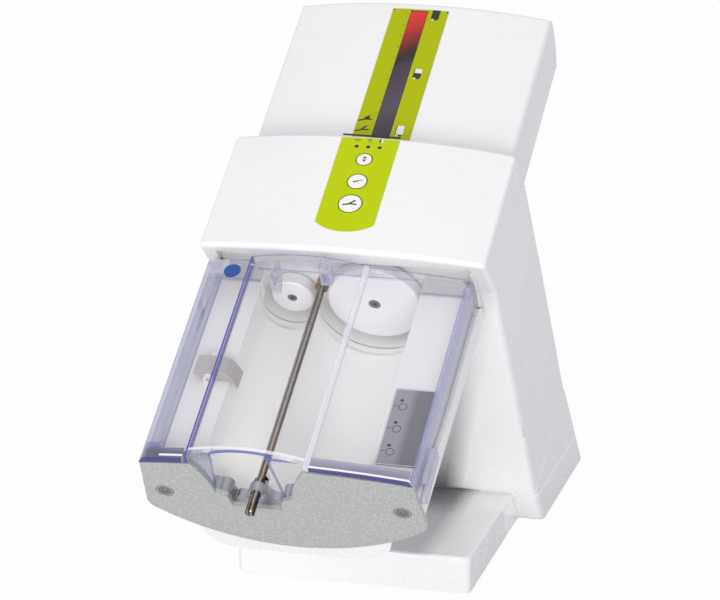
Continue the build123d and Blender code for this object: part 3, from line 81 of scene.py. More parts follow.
# Shader wires: values that can be added and multiplied in plain expressions
class Wire:
    def __init__(self, sheet, socket):
        self.sheet, self.socket = sheet, socket

    def step(self, operation, a, b=None):
        values = {0: a} if b is None else {0: a, 1: b}
        return self.sheet.wire("ShaderNodeMath", {"operation": operation}, values)

    def __add__(self, other):
        return self.step("ADD", self, other)

    def __radd__(self, other):
        return self.step("ADD", other, self)

    def __sub__(self, other):
        return self.step("SUBTRACT", self, other)

    def __rsub__(self, other):
        return self.step("SUBTRACT", other, self)

    def __mul__(self, other):
        return self.step("MULTIPLY", self, other)

    def __rmul__(self, other):
        return self.step("MULTIPLY", other, self)

    def __truediv__(self, other):
        return self.step("DIVIDE", self, other)

    def __rtruediv__(self, other):
        return self.step("DIVIDE", other, self)

    def __pow__(self, other):
        return self.step("POWER", self, other)

    def absolute(self):
        return self.step("ABSOLUTE", self)

    def larger(self, other):
        return self.step("MAXIMUM", self, other)

    def above(self, edge, soft=0.0):  # 1 where the value is over edge
        if soft:
            return self.step("MINIMUM", ((self - edge) / soft).larger(0.0), 1.0)
        return self.step("GREATER_THAN", self, edge)

    def below(self, edge, soft=0.0):
        return 1.0 - self.above(edge, soft)

    def near(self, middle, half, soft=0.2):  # 1 within half of middle
        return (self - middle).absolute().below(half, soft)

    def ramp(self, stops):
        return self.sheet.wire("ShaderNodeValToRGB", {"stops": stops}, {0: self})


class Sheet:
    def __init__(self, name):
        self.material = bpy.data.materials.new(name)
        self.material.use_nodes = True
        self.tree = self.material.node_tree
        self.tree.nodes.clear()
        self.out = self.add("ShaderNodeOutputMaterial")

    def add(self, kind, settings=None, values=None):
        node = self.tree.nodes.new(kind)
        for key, value in (settings or {}).items():
            if key == "stops":
                self.setStops(node.color_ramp.elements, value)
            else:
                setattr(node, key, value)
        for key, value in (values or {}).items():
            if isinstance(value, Wire):
                value = value.socket
            if isinstance(value, bpy.types.NodeSocket):
                self.tree.links.new(value, node.inputs[key])
            else:
                node.inputs[key].default_value = value
        return node

    def setStops(self, elements, stops):
        for index, (place, colour) in enumerate(stops):
            if index < len(elements):
                stop = elements[index]
                stop.position = place
            else:
                stop = elements.new(place)
            stop.color = (*colour, 1.0)

    def wire(self, kind, settings=None, values=None, output=0):
        return Wire(self, self.add(kind, settings, values).outputs[output])

    def point(self, stretch=None):  # object coordinates
        place = self.wire("ShaderNodeTexCoord", output="Object")
        if stretch is None:
            return place
        return self.wire("ShaderNodeMapping", {}, {"Vector": place, "Scale": stretch})

    def unitPoint(self):  # mm across, along and out of the tilted unit
        place = self.wire("ShaderNodeMapping", {}, {
            "Vector": self.point(), "Rotation": (-unitTilt, 0, 0),
            "Location": Matrix.Rotation(-unitTilt, 3, "X") @ -unitOrigin})
        return [part * 1000.0 for part in self.parts(place)]

    def noise(self, scale, detail=2.0, stretch=None):
        return self.wire("ShaderNodeTexNoise", {}, {
            "Vector": self.point(stretch), "Scale": scale, "Detail": detail}, "Fac")

    def mix(self, factor, a, b):
        return self.wire("ShaderNodeMix", {"data_type": "RGBA"}, {
            0: factor, 6: a if isinstance(a, Wire) else (*a, 1.0),
            7: b if isinstance(b, Wire) else (*b, 1.0)}, 2)

    def parts(self, vector):
        node = self.add("ShaderNodeSeparateXYZ", {}, {0: vector})
        return [Wire(self, socket) for socket in node.outputs]

    def rim(self, blend):
        return self.wire("ShaderNodeLayerWeight", {}, {"Blend": blend}, "Facing")

    def bump(self, height, strength, distance):
        return self.wire("ShaderNodeBump", {}, {
            "Height": height, "Strength": strength, "Distance": distance})

    def surface(self, values):
        return self.add("ShaderNodeBsdfPrincipled", {}, values).outputs[0]

    def finish(self, shader):
        self.tree.links.new(shader, self.out.inputs[0])
        return self.material

    def finishClear(self, cover, tint, shader):  # see-through where cover is low
        through = self.add("ShaderNodeBsdfTransparent", {}, {"Color": (*tint, 1.0)})
        blend = self.add("ShaderNodeMixShader", {}, {0: cover, 1: through.outputs[0], 2: shader})
        return self.finish(blend.outputs[0])


def tone(red, green, blue):  # 0 to 255, as seen on a screen
    def linear(value):
        value = value / 255
        return value / 12.92 if value <= 0.04045 else ((value + 0.055) / 1.055) ** 2.4
    return (linear(red), linear(green), linear(blue))


def toned(stops):
    return [(place, tone(*colour)) for place, colour in stops]


# Moulded plastics
mouldedLooks = {
    "glossWhite": {
        "colour": (240, 240, 239), "shade": (232, 232, 234), "rough": 0.27, "grain": 900, "bump": 0.03},
    "plungerWhite": {
        "colour": (248, 247, 248), "shade": (243, 242, 243), "rough": 0.30, "grain": 900, "bump": 0.03},
    "buttonWhite": {
        "colour": (240, 241, 236), "shade": (232, 233, 228), "rough": 0.45, "grain": 1600, "bump": 0.05},
    "leverGrey": {
        "colour": (188, 183, 182), "shade": (176, 171, 170), "rough": 0.30, "grain": 1500, "bump": 0.06},
    "discBlue": {
        "colour": (26, 79, 160), "shade": (22, 70, 146), "rough": 0.35, "grain": 1200, "bump": 0.03},
    "flagRed": {
        "colour": (196, 22, 12), "shade": (150, 14, 10), "rough": 0.35, "grain": 900, "bump": 0.03},
    "lampDark": {
        "colour": (20, 20, 22), "shade": (34, 34, 38), "rough": 0.15, "grain": 900, "bump": 0.02},
    "blackPlastic": {
        "colour": (22, 22, 23), "shade": (31, 31, 32), "rough": 0.42, "grain": 2400, "bump": 0.10},
    "boardGreen": {
        "colour": (18, 84, 44), "shade": (26, 100, 56), "rough": 0.4, "grain": 700, "bump": 0.05},
    "sealGrey": {
        "colour": (150, 149, 164), "shade": (138, 137, 152), "rough": 0.7, "grain": 2200, "bump": 0.12},
    "rubberBlack": {
        "colour": (26, 26, 26), "shade": (36, 36, 36), "rough": 0.8, "grain": 1800, "bump": 0.2},
    "markBlack": {
        "colour": (24, 26, 18), "shade": (34, 36, 26), "rough": 0.45, "grain": 1500, "bump": 0.02},
    "markWhite": {
        "colour": (232, 232, 234), "shade": (222, 222, 226), "rough": 0.4, "grain": 1500, "bump": 0.02},
}
flowScale = 14.0  # slow drift of tone over a moulding


def moulded(name, look, paint=None):
    sheet = Sheet(name)
    flow = sheet.noise(flowScale, 3.0)
    fine = sheet.noise(look["grain"])
    colour = sheet.mix(flow, tone(*look["shade"]), tone(*look["colour"]))
    if paint:
        colour = paint(sheet, colour)
    return sheet.finish(sheet.surface({
        "Base Color": colour, "IOR": 1.5,
        "Roughness": look["rough"] - 0.05 + flow * 0.06 + fine * 0.04,
        "Normal": sheet.bump(fine, look["bump"], 0.0002)}))


# Painted shadow in the gap where the bay's side ends in an arc: a dark line along the arc
bayLook = {
    "middle": (155.98, -42.95), "radius": 15.9, "half": 0.55, "dark": (74, 74, 76),
    "wall": 78.2, "start": 160.0, "top": -28.5,
}


def bayGapShadow(sheet, colour):
    look = bayLook
    x, s, h = sheet.unitPoint()
    aside, up = s - look["middle"][0], h - look["middle"][1]
    away = (aside * aside + up * up) ** 0.5
    side = x.absolute().above(look["wall"]) * s.above(look["start"]) * h.below(look["top"], 0.3)
    # painted shadow: darken a thin line along the arc
    return sheet.mix(away.near(look["radius"], look["half"], 0.3) * side, colour, tone(*look["dark"]))


# Painted shadow on the column and foot, of the bay that overhangs them, and painted light: the column's
# front and the foot's top painted a brighter white
shadeLook = {
    "bright": (253, 253, 252), "soft": 13.0,
    "face": (168.0, 196.0), "faceTop": -50.0, "faceHalf": 88.0, "flare": 0.0091,
    "edge": 38.0, "lean": 0.235, "low": -232.0, "run": 150.0, "fade": (-60.0, 40.0),
    "columnTones": [(0.0, (112, 112, 115)), (0.2, (176, 176, 178)), (0.5, (202, 202, 203)),
                    (1.0, (240, 240, 240))],
    "footTop": (0.0236, 0.0255), "footEdge": 41.0, "footFade": (-10.0, 20.0),
    "footBack": 52.0, "footRun": 110.0,
    "footTones": [(0.0, (206, 207, 209)), (0.75, (204, 204, 206)), (1.0, (150, 150, 153))],
}


def bayShadeAndLight(sheet, colour):
    look = shadeLook
    x, s, h = sheet.unitPoint()
    _, depth, height = sheet.parts(sheet.point())
    rise = h - look["low"]
    front = s.above(look["face"][0]) * s.below(look["face"][1]) * h.below(look["faceTop"], 20.0)
    front = front * (x.absolute() + rise * look["flare"]).below(look["faceHalf"], 2.0)
    edge = x - look["edge"] - rise * look["lean"] + look["soft"] / 2
    column = front * x.above(*look["fade"]) * edge.below(0.0, look["soft"])
    top = height.above(look["footTop"][0]) * height.below(look["footTop"][1])
    foot = top * x.above(*look["footFade"]) * x.below(look["footEdge"], look["soft"])
    # painted light: brighter white on the column's front and the foot's top
    colour = sheet.mix(front.larger(top), colour, tone(*look["bright"]))
    # painted shadow of the bay on the column
    colour = sheet.mix(column, colour, (rise / look["run"]).ramp(toned(look["columnTones"])))
    back = (depth * 1000.0 - look["footBack"]) / look["footRun"] + 1.0
    # painted shadow of the bay on the foot's top
    return sheet.mix(foot, colour, back.ramp(toned(look["footTones"])))


metalLooks = {
    "turnedSteel": {
        "colour": (150, 142, 132), "shade": (104, 96, 88),
        "rough": 0.26, "stretch": (1, 1, 1), "grain": 420},
    "chrome": {
        "colour": (205, 206, 208), "shade": (190, 190, 194),
        "rough": 0.10, "stretch": (1, 1, 1), "grain": 300},
    "bronze": {
        "colour": (158, 120, 78), "shade": (120, 88, 56),
        "rough": 0.34, "stretch": (1, 1, 1), "grain": 500},
    "castZinc": {
        "colour": (196, 197, 202), "shade": (166, 167, 174),
        "rough": 0.38, "stretch": (1, 1, 1), "grain": 800},
    "milledAluminium": {
        "colour": (190, 191, 193), "shade": (170, 171, 174),
        "rough": 0.32, "stretch": (6, 1, 1), "grain": 240},
    "gearBrass": {
        "colour": (200, 164, 96), "shade": (168, 132, 72),
        "rough": 0.30, "stretch": (1, 1, 1), "grain": 500},
    "zincSheet": {
        "colour": (172, 174, 178), "shade": (148, 150, 156),
        "rough": 0.40, "stretch": (1, 8, 1), "grain": 160},
}


def metal(name, look):
    sheet = Sheet(name)
    streak = sheet.noise(look["grain"], 3.0, look["stretch"])
    wear = sheet.noise(22.0, 4.0)
    colour = sheet.mix(streak * 0.6 + wear * 0.4, tone(*look["shade"]), tone(*look["colour"]))
    return sheet.finish(sheet.surface({
        "Base Color": colour, "Metallic": 1.0, "Roughness": look["rough"] - 0.05 + streak * 0.1,
        "Normal": sheet.bump(streak, 0.08, 0.0001)}))


paintLooks = {
    "motorBlack": {"colour": (44, 44, 46), "shade": (32, 32, 34), "rough": 0.45, "grain": 900},
    "supplyGrey": {"colour": (106, 108, 111), "shade": (92, 94, 97), "rough": 0.5, "grain": 1100},
}


def painted(name, look):
    sheet = Sheet(name)
    peel = sheet.noise(look["grain"])
    wear = sheet.noise(30.0, 4.0)
    return sheet.finish(sheet.surface({
        "Base Color": sheet.mix(wear, tone(*look["shade"]), tone(*look["colour"])),
        "Roughness": look["rough"] + peel * 0.08, "Normal": sheet.bump(peel, 0.15, 0.0002)}))


# Front plate: fine silver flakes
sparkleLook = {
    "colour": (201, 203, 200), "dark": (168, 171, 168), "bright": (236, 238, 236),
    "flakes": 2600, "rough": 0.36,
}


def silverSparkle(name, look):
    sheet = Sheet(name)
    flakes = sheet.wire("ShaderNodeTexVoronoi", {}, {
        "Vector": sheet.point(), "Scale": look["flakes"]}, "Color")
    lit = sheet.parts(flakes)[0]
    base = sheet.mix(lit, tone(*look["dark"]), tone(*look["colour"]))
    colour = sheet.mix(lit.above(0.88) * 0.5, base, tone(*look["bright"]))
    drift = sheet.noise(18.0, 3.0)
    return sheet.finish(sheet.surface({
        "Base Color": colour, "Metallic": 0.45,
        "Roughness": look["rough"] - 0.04 + lit * 0.12 + drift * 0.04,
        "Normal": sheet.bump(lit, 0.12, 0.0001)}))


# Green films, a little darker on the head than on the console
filmLook = {
    "console": (188, 206, 0), "head": (172, 184, 0), "shade": (160, 176, 0), "step": 262.0, "rough": 0.40,
}


def greenFilm(name, look):
    sheet = Sheet(name)
    drift = sheet.noise(26.0, 3.0)
    grain = sheet.noise(3200.0, 1.0)
    _, s, _ = sheet.unitPoint()
    colour = sheet.mix(s.above(look["step"]), tone(*look["console"]), tone(*look["head"]))
    return sheet.finish(sheet.surface({
        "Base Color": sheet.mix(drift * 0.3, colour, tone(*look["shade"])), "Specular IOR Level": 0.12,
        "Roughness": look["rough"] + grain * 0.08, "Normal": sheet.bump(grain, 0.06, 0.0001)}))


# Clear lid: painted highlights, reflections and shadow laid over the clear body
# white streaks and bands are painted highlights; violet and grey bands and lines are painted reflections of
# its thick walls and edges; the dark rear arc is painted shadow in the gap; the lug, catch and left flap
# carry painted glints
clearLook = {
    "tint": (252, 252, 253), "body": (236, 238, 244), "rough": 0.04, "least": 0.03,
    # side walls from their low edge up: painted reflection colour, then how much they cover
    "wallLow": -29.0, "wallTall": 31.0,
    "side": [(0.0, (150, 154, 196)), (0.04, (224, 228, 236)), (0.34, (222, 226, 236)),
             (0.37, (112, 112, 150)), (0.41, (204, 204, 232)), (0.80, (186, 188, 226)),
             (0.93, (150, 152, 212)), (1.0, (84, 86, 168))],
    "sideCover": [(0.0, 0.75), (0.04, 0.40), (0.34, 0.44), (0.37, 0.70), (0.41, 0.52), (0.80, 0.56),
                  (0.93, 0.74), (1.0, 0.86)],
    # each mask's painted colour, how much it covers, and what its painted glints add
    "backBands": [
        ("rear", (196, 199, 210), 0.22, 0), ("crest", (112, 114, 166), 0.55, 0),
        ("corner", (196, 197, 214), 0.55, 0)],
    "frontBands": [
        ("ledgeLeft", (98, 95, 124), 0.80, 0), ("ledgeRight", (140, 138, 162), 0.72, 0),
        ("streak", (244, 245, 249), 0.88, 0), ("rearArcShadow", (84, 84, 90), 0.7, 0),
        ("hinge", (112, 114, 166), 0.65, 0), ("edge", (52, 48, 124), 0.94, 0),
        ("leftFlap", (150, 156, 168), 0.40, 0.3), ("flapLine", (104, 112, 168), 0.6, 0),
        ("domeHighlight", (244, 245, 249), 0.6, 0), ("domeEdge", (84, 92, 172), 0.85, 0),
        ("line", (74, 76, 156), 0.85, 0), ("band", (244, 245, 249), 0.45, 0),
        ("bandEdge", (196, 199, 210), 0.75, 0), ("lug", (200, 201, 226), 0.35, 0.3),
        ("catch", (200, 201, 226), 0.25, 0.7)],
}
# Places on the lid: middle, half width and softness in mm, or an edge
lidPlaces = {
    "wall": 76.0, "notch": (-16.8, 37.6, 0.5),
    "ledge": (4.6, 3.9), "ledgeHalf": 79.0, "edge": 0.9, "edgeEnd": (2.2, 0.4),
    "streakRight": (1.6, 0.7), "streakLeft": (3.2, 0.7), "streakLeftAcross": (-61.0, 8.0),
    "domeEdge": (4.2, 1.4, 0.3), "domeEdgeLow": (5.5, 0.5),
    "domeHighlight": (5.2, 0.9), "domeHighlightLow": (6.5, 0.5),
    "flapEnd": (8.0, 1.0), "flapTop": (10.5, 0.5), "leftFlap": -30.0, "leftFlapEnd": (4.0, 0.5),
    # slanting folds: place across at foldLevel, slope, half width
    "folds": [(-36.4, 0.08, 0.7), (-5.3, -0.122, 0.6)], "foldLevel": 20.0,
    "rear": (140.0, 1.0), "crest": (157.1, 0.5),
    "line": (-52.3, 1.0), "band": (19.4, 1.5), "bandCore": (19.4, 0.8), "lineLow": (1.5, 0.3),
    "arcMiddle": (136.0, -21.6), "arc": (30.2, 0.5), "arcStart": 156.0,
    "lug": [(-35.5, 1.7), (147.0, 8.2), 8.6], "catch": [(-5.5, 3.8), (153.5, 3.9), 10.4],
    "corner": (152.0, 5.6), "cornerEdge": -66.5, "hinge": [(-75.0, 4.4), (10.6, 1.9)],
}


def lidFacing(sheet):  # how much a face looks across, along and out of the unit
    facing = sheet.wire("ShaderNodeNewGeometry", {}, {}, "True Normal")
    local = sheet.wire("ShaderNodeVectorTransform", {
        "vector_type": "NORMAL", "convert_from": "WORLD", "convert_to": "OBJECT"}, {"Vector": facing})
    turned = sheet.wire("ShaderNodeMapping", {"vector_type": "NORMAL"}, {
        "Vector": local, "Rotation": (-unitTilt, 0, 0)})
    across, along, out = [part.absolute() for part in sheet.parts(turned)]
    return across.above(0.8, 0.15), along.above(0.6, 0.2), out.above(0.6, 0.2)


def lidMasks(sheet, x, s, h, p):
    sideFace, endFace, topFace = lidFacing(sheet)
    wall = x.absolute().above(p["wall"], 0.5)
    notch, right = x.near(*p["notch"]), x.above(0.0)
    flat = (1.0 - notch) * topFace
    ledge = flat * s.near(*p["ledge"]) * x.absolute().below(p["ledgeHalf"])
    streakLeft = (1.0 - right) * s.near(*p["streakLeft"]) * x.near(*p["streakLeftAcross"])
    flap = s.below(*p["flapEnd"]) * notch * h.below(*p["flapTop"])
    level = h - p["foldLevel"]
    folds = [(x - place + level * -slope).near(0.0, half) for place, slope, half in p["folds"]]
    band = x.near(*p["band"]) * h.above(*p["lineLow"])
    aside, up = s - p["arcMiddle"][0], h - p["arcMiddle"][1]
    arc = ((aside * aside + up * up) ** 0.5).near(*p["arc"])
    return {
        "side": sideFace * wall,
        "rear": endFace * s.above(*p["rear"]),
        "crest": topFace * s.near(*p["crest"]),
        "corner": x.below(p["cornerEdge"]) * s.near(*p["corner"]) * topFace,
        "ledgeLeft": ledge * (1.0 - right),
        "ledgeRight": ledge * right,
        "streak": flat * (right * s.near(*p["streakRight"]) + streakLeft),
        # painted shadow in the gap behind the lid's rear arc
        "rearArcShadow": arc * wall * s.above(p["arcStart"]),
        "hinge": x.near(*p["hinge"][0]) * s.near(*p["hinge"][1]) * topFace,
        "edge": flat * s.below(p["edge"]) + endFace * s.below(*p["edgeEnd"]) * (1.0 - notch),
        "leftFlap": flap * x.below(p["leftFlap"]) * s.below(*p["leftFlapEnd"]),
        "flapLine": flap * (folds[0] + folds[1]),
        "domeHighlight": topFace * s.near(*p["domeHighlight"]) * notch * h.above(*p["domeHighlightLow"]),
        "domeEdge": endFace * s.near(*p["domeEdge"]) * notch * h.above(*p["domeEdgeLow"]),
        "line": x.near(*p["line"]) * h.above(*p["lineLow"]),
        "band": band,
        "bandEdge": band - x.near(*p["bandCore"]) * band,
        "lug": x.near(*p["lug"][0]) * s.near(*p["lug"][1]) * h.below(p["lug"][2]),
        "catch": x.near(*p["catch"][0]) * s.near(*p["catch"][1]) * h.below(p["catch"][2]),
    }


def clearPlastic(name, look, places):
    sheet = Sheet(name)
    x, s, h = sheet.unitPoint()
    masks = lidMasks(sheet, x, s, h, places)
    haze = sheet.noise(60.0, 3.0)
    # painted glints
    glint = sheet.noise(420.0, 1.0)
    rise = (h - look["wallLow"]) / look["wallTall"]
    sideCover = rise.ramp([(place, (cover,) * 3) for place, cover in look["sideCover"]])

    def band(mask, shade, share, glints):
        return masks[mask], tone(*shade), share + glint * glints if glints else share

    bands = [band(*values) for values in look["backBands"]]
    bands.append((masks["side"], rise.ramp(toned(look["side"])), sideCover))
    bands += [band(*values) for values in look["frontBands"]]
    cover = look["least"] + haze * 0.02 + sheet.rim(0.35) ** 3.0 * 0.4
    colour = tone(*look["body"])
    # lay the painted highlights, reflections and shadow in bands over the clear body
    for mask, shade, share in bands:
        colour = sheet.mix(mask, colour, shade)
        cover = cover + mask * (share - cover)
    glossy = sheet.surface({
        "Base Color": colour, "Roughness": look["rough"] + haze * 0.03, "IOR": 1.58, "Coat Weight": 0.4})
    return sheet.finishClear(cover, tone(*look["tint"]), glossy)


# Cartridge tray: troughs painted paler than the land as painted light, and thin grey lines of painted shade
# where it steps back for the plungers and along the gutter's edge
trayLook = {
    "land": (236, 235, 232), "troughPaintedLight": (251, 251, 248), "gutter": (198, 199, 216), "creaseShade": (150, 151, 154),
    "gutterEdge": -74.8, "bayEnd": 163.5, "troughTop": -14.3, "steps": (149.7, 158.2), "rough": 0.36,
}


def trayPlastic(name, look):
    sheet = Sheet(name)
    x, s, h = sheet.unitPoint()
    fine = sheet.noise(1500.0)
    flow = sheet.noise(flowScale, 3.0)
    low = h.below(look["troughTop"], 0.4)
    bay = s.below(look["bayEnd"])
    # painted light: troughs paler than the land
    colour = sheet.mix(low, tone(*look["land"]), tone(*look["troughPaintedLight"]))
    colour = sheet.mix(x.below(look["gutterEdge"], 0.3) * bay, colour, tone(*look["gutter"]))
    # painted shade: thin grey lines along the gutter's edge and at the steps
    creaseShade = x.near(look["gutterEdge"], 0.45) * bay
    for step in look["steps"]:
        creaseShade = creaseShade.larger(s.near(step, 0.35) * low)
    colour = sheet.mix(creaseShade * 0.7, colour, tone(*look["creaseShade"]))
    return sheet.finish(sheet.surface({
        "Base Color": colour, "Roughness": look["rough"] + flow * 0.06,
        "Normal": sheet.bump(fine, 0.04, 0.0002)}))


# Plate beside the large cartridge; its side under the lid's wall is darker, a painted reflection of that
# wall
infoLook = {
    "left": (158, 159, 166), "right": (112, 113, 120), "streak": (126, 127, 134),
    "step": 61.5, "rough": 0.38,
}


def infoMetal(name, look):
    sheet = Sheet(name)
    x, _, _ = sheet.unitPoint()
    streak = sheet.noise(300.0, 3.0, (1, 10, 1))
    # painted reflection: the side under the lid's wall darker
    colour = sheet.mix(x.above(look["step"], 5.0), tone(*look["left"]), tone(*look["right"]))
    return sheet.finish(sheet.surface({
        "Base Color": sheet.mix(streak * 0.3, colour, tone(*look["streak"])), "Metallic": 0.5,
        "Roughness": look["rough"] + streak * 0.1, "Normal": sheet.bump(streak, 0.06, 0.0001)}))


# Screws in the front plate: a bright ring round a dark socket; the bright and dark rings are painted
# highlight and painted shade
screwLook = {
    "across": 71.2, "out": -28.8, "radius": 5.6, "rough": 0.24, "scratch": (90, 88, 86),
    "stops": [(0.0, (206, 160, 104)), (0.16, (120, 90, 62)), (0.30, (214, 206, 190)),
              (0.36, (70, 68, 66)), (0.44, (150, 150, 146)), (0.72, (120, 120, 118)),
              (0.80, (226, 227, 226)), (0.92, (60, 60, 62)), (1.0, (190, 190, 190))],
}


def screwSteel(name, look):
    sheet = Sheet(name)
    x, _, h = sheet.unitPoint()
    aside, up = x.absolute() - look["across"], h - look["out"]
    away = ((aside * aside + up * up) ** 0.5) / look["radius"]
    scratch = sheet.noise(700.0, 3.0)
    return sheet.finish(sheet.surface({
        # painted highlight and shade rings round the screw's middle
        "Base Color": sheet.mix(scratch * 0.3, away.ramp(toned(look["stops"])), tone(*look["scratch"])),
        "Metallic": 0.6, "Roughness": look["rough"] + scratch * 0.1,
        "Normal": sheet.bump(scratch, 0.2, 0.0002)}))


# Mixer shaft: bright and dark facets side by side, painted highlights and painted shade in stripes along it
shaftLook = {
    "across": -15.4, "half": 3.4, "rough": 0.22, "streak": (64, 54, 47),
    "stops": [(0.0, (58, 48, 42)), (0.22, (74, 62, 54)), (0.27, (182, 170, 156)), (0.40, (150, 136, 122)),
              (0.44, (66, 55, 48)), (0.52, (82, 70, 62)), (0.57, (196, 186, 172)), (0.72, (160, 146, 132)),
              (0.76, (70, 58, 50)), (1.0, (52, 43, 38))],
}


def shaftHighlightSteel(name, look):
    sheet = Sheet(name)
    x, _, _ = sheet.unitPoint()
    streak = sheet.noise(160.0, 3.0, (1, 0.2, 1))
    place = (x - look["across"]) / (2.0 * look["half"]) + 0.5
    return sheet.finish(sheet.surface({
        # painted highlights and shade: stripes across the shaft from the ramp
        "Base Color": sheet.mix(streak * 0.35, place.ramp(toned(look["stops"])), tone(*look["streak"])),
        "Metallic": 0.75, "Roughness": look["rough"] + streak * 0.1,
        "Normal": sheet.bump(streak, 0.1, 0.0001)}))


# Level window: violet grey at its low end, then black, then red
smokeLook = {
    "cover": 0.9, "start": 268.0, "run": 120.0, "slant": 0.6, "tint": (0.55, 0.5, 0.55),
    "stops": [(0.0, (48, 42, 54)), (0.30, (78, 68, 82)), (0.60, (58, 48, 60)), (0.66, (30, 20, 22)),
              (0.72, (70, 14, 10)), (0.82, (150, 18, 12)), (0.92, (206, 34, 16)), (1.0, (214, 44, 22))],
}


def smokedWindow(name, look):
    sheet = Sheet(name)
    x, s, _ = sheet.unitPoint()
    haze = sheet.noise(40.0, 3.0)
    cover = look["cover"] + haze * 0.05 + sheet.rim(0.3) ** 4.0 * 0.05
    place = (s - look["start"] + haze * 4.0 - x * look["slant"]) / look["run"]
    glossy = sheet.surface({
        "Base Color": place.ramp(toned(look["stops"])), "Roughness": 0.22 + haze * 0.05, "IOR": 1.45})
    return sheet.finishClear(cover, look["tint"], glossy)


milkyLook = {"colour": (214, 214, 226), "shade": (196, 196, 212), "cover": 0.75, "tint": (0.95, 0.95, 1.0)}


def milkyPlastic(name, look):
    sheet = Sheet(name)
    haze = sheet.noise(80.0, 3.0)
    glossy = sheet.surface({
        "Base Color": sheet.mix(haze, tone(*look["shade"]), tone(*look["colour"])),
        "Roughness": 0.18 + haze * 0.05, "IOR": 1.5})
    return sheet.finishClear(haze * 0.1 + look["cover"], look["tint"], glossy)


finishes = {}
for make, looks in ((moulded, mouldedLooks), (metal, metalLooks), (painted, paintLooks)):
    for name, look in looks.items():
        finishes[name] = make(name, look)
for name, paint in (("bayPlastic", bayGapShadow), ("shadedWhite", bayShadeAndLight)):
    finishes[name] = moulded(name, mouldedLooks["glossWhite"], paint)
finishes["silverSparkle"] = silverSparkle("silverSparkle", sparkleLook)
finishes["greenFilm"] = greenFilm("greenFilm", filmLook)
finishes["clearPlastic"] = clearPlastic("clearPlastic", clearLook, lidPlaces)
finishes["trayPlastic"] = trayPlastic("trayPlastic", trayLook)
finishes["infoPlate"] = infoMetal("infoPlate", infoLook)
finishes["screwSteel"] = screwSteel("screwSteel", screwLook)
finishes["shaftHighlightSteel"] = shaftHighlightSteel("shaftHighlightSteel", shaftLook)
finishes["smokedWindow"] = smokedWindow("smokedWindow", smokeLook)
finishes["milkyPlastic"] = milkyPlastic("milkyPlastic", milkyLook)
print("finishes made:", len(finishes))

finishOfNode = {
    "glossWhite": ["rear_panel", "head_cover", "head_pan"],
    "shadedWhite": ["column_housing", "base_skirt", "front_foot"],
    "bayPlastic": ["bay_body"],
    "trayPlastic": ["bay_tray"],
    "plungerWhite": ["large_plunger", "small_plunger"],
    "buttonWhite": ["mix_button", "feed_button", "retract_button"],
    "leverGrey": ["release_lever"],
    "discBlue": ["marker_disc"],
    "flagRed": ["level_marker"],
    "lampDark": ["status_lamps"],
    "blackPlastic": ["power_inlet", "switch_body", "power_rocker"],
    "boardGreen": ["control_board"],
    "sealGrey": ["front_seal"],
    "rubberBlack": ["rubber_feet", "mixer_belt"],
    "shaftHighlightSteel": ["mixer_shaft"],
    "turnedSteel": [
        "feed_spindle", "feed_pinion", "motor_shaft", "spacers", "tie_rods",
        "plunger_screws", "base_screws"],
    "chrome": ["large_rod", "small_rod", "lid_hinge_pins", "lever_pin"],
    "bronze": ["bushes", "shaft_collar", "spindle_nut"],
    "castZinc": ["tip_cradle"],
    "screwSteel": ["plate_screws"],
    "milledAluminium": ["yoke", "shaft_pulley", "motor_pulley"],
    "gearBrass": ["spindle_gear"],
    "zincSheet": ["front_bulkhead", "drive_bulkhead", "rear_bulkhead", "column_frame", "base_pan"],
    "infoPlate": ["info_plate"],
    "motorBlack": ["feed_motor", "mixer_motor"],
    "supplyGrey": ["power_supply"],
    "silverSparkle": ["front_plate"],
    "greenFilm": ["display_label", "console_label"],
    "clearPlastic": ["lid"],
    "smokedWindow": ["level_window"],
    "milkyPlastic": ["lid_grip"],
}
dressed = set()
for finish, nodes in finishOfNode.items():
    for node in nodes:
        for slot in frame["nodes"][node].material_slots:
            slot.material = finishes[finish]
        dressed.add(node)
print("nodes without a finish:", sorted(set(frame["nodes"]) - dressed))


# New pieces are drawn in the tilted unit
def newPiece(name, shape, finish, body):
    shape.transform(unitMatrix)
    bmesh.ops.recalc_face_normals(shape, faces=shape.faces)
    mesh = bpy.data.meshes.new(name)
    shape.to_mesh(mesh)
    shape.free()
    piece = bpy.data.objects.new(name, mesh)
    bpy.context.scene.collection.objects.link(piece)
    mesh.materials.append(finishes[finish])
    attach(piece, body)


# Printed marks: flat shapes in mm, raised from the surface that they lie on
def at(x, s, turn=0.0, wide=1.0, tall=1.0):
    return Matrix.Translation((x * mm, s * mm, 0)) @ Matrix.Rotation(radians(turn), 4, "Z") @ \
        Matrix.Diagonal((wide * mm, tall * mm, 1, 1))


def disc(shape, x, s, radius, sides):
    place = at(x, s, 0, radius, radius)
    bmesh.ops.create_circle(shape, cap_ends=True, segments=sides, radius=1.0, matrix=place)


def bar(shape, x, s, wide, tall, turn=0.0):
    bmesh.ops.create_grid(shape, x_segments=1, y_segments=1, size=0.5, matrix=at(x, s, turn, wide, tall))


def arrow(shape, x, s, size, turn=0.0):
    bmesh.ops.create_circle(shape, cap_ends=True, segments=3, radius=1.0, matrix=at(x, s, turn, size, size))


def ring(shape, x, s, radius, width, sides):
    loops = []
    for r in (radius - width, radius):
        made = bmesh.ops.create_circle(shape, segments=sides, radius=1.0, matrix=at(x, s, 0, r, r))
        loops += list({edge for v in made["verts"] for edge in v.link_edges})
    bmesh.ops.bridge_loops(shape, edges=loops)


def outline(shape, x, s, wide, tall, width):
    for side in (-1, 1):
        bar(shape, x + side * (wide - width) / 2, s, width, tall)
        bar(shape, x, s + side * (tall - width) / 2, wide - 2 * width, width)


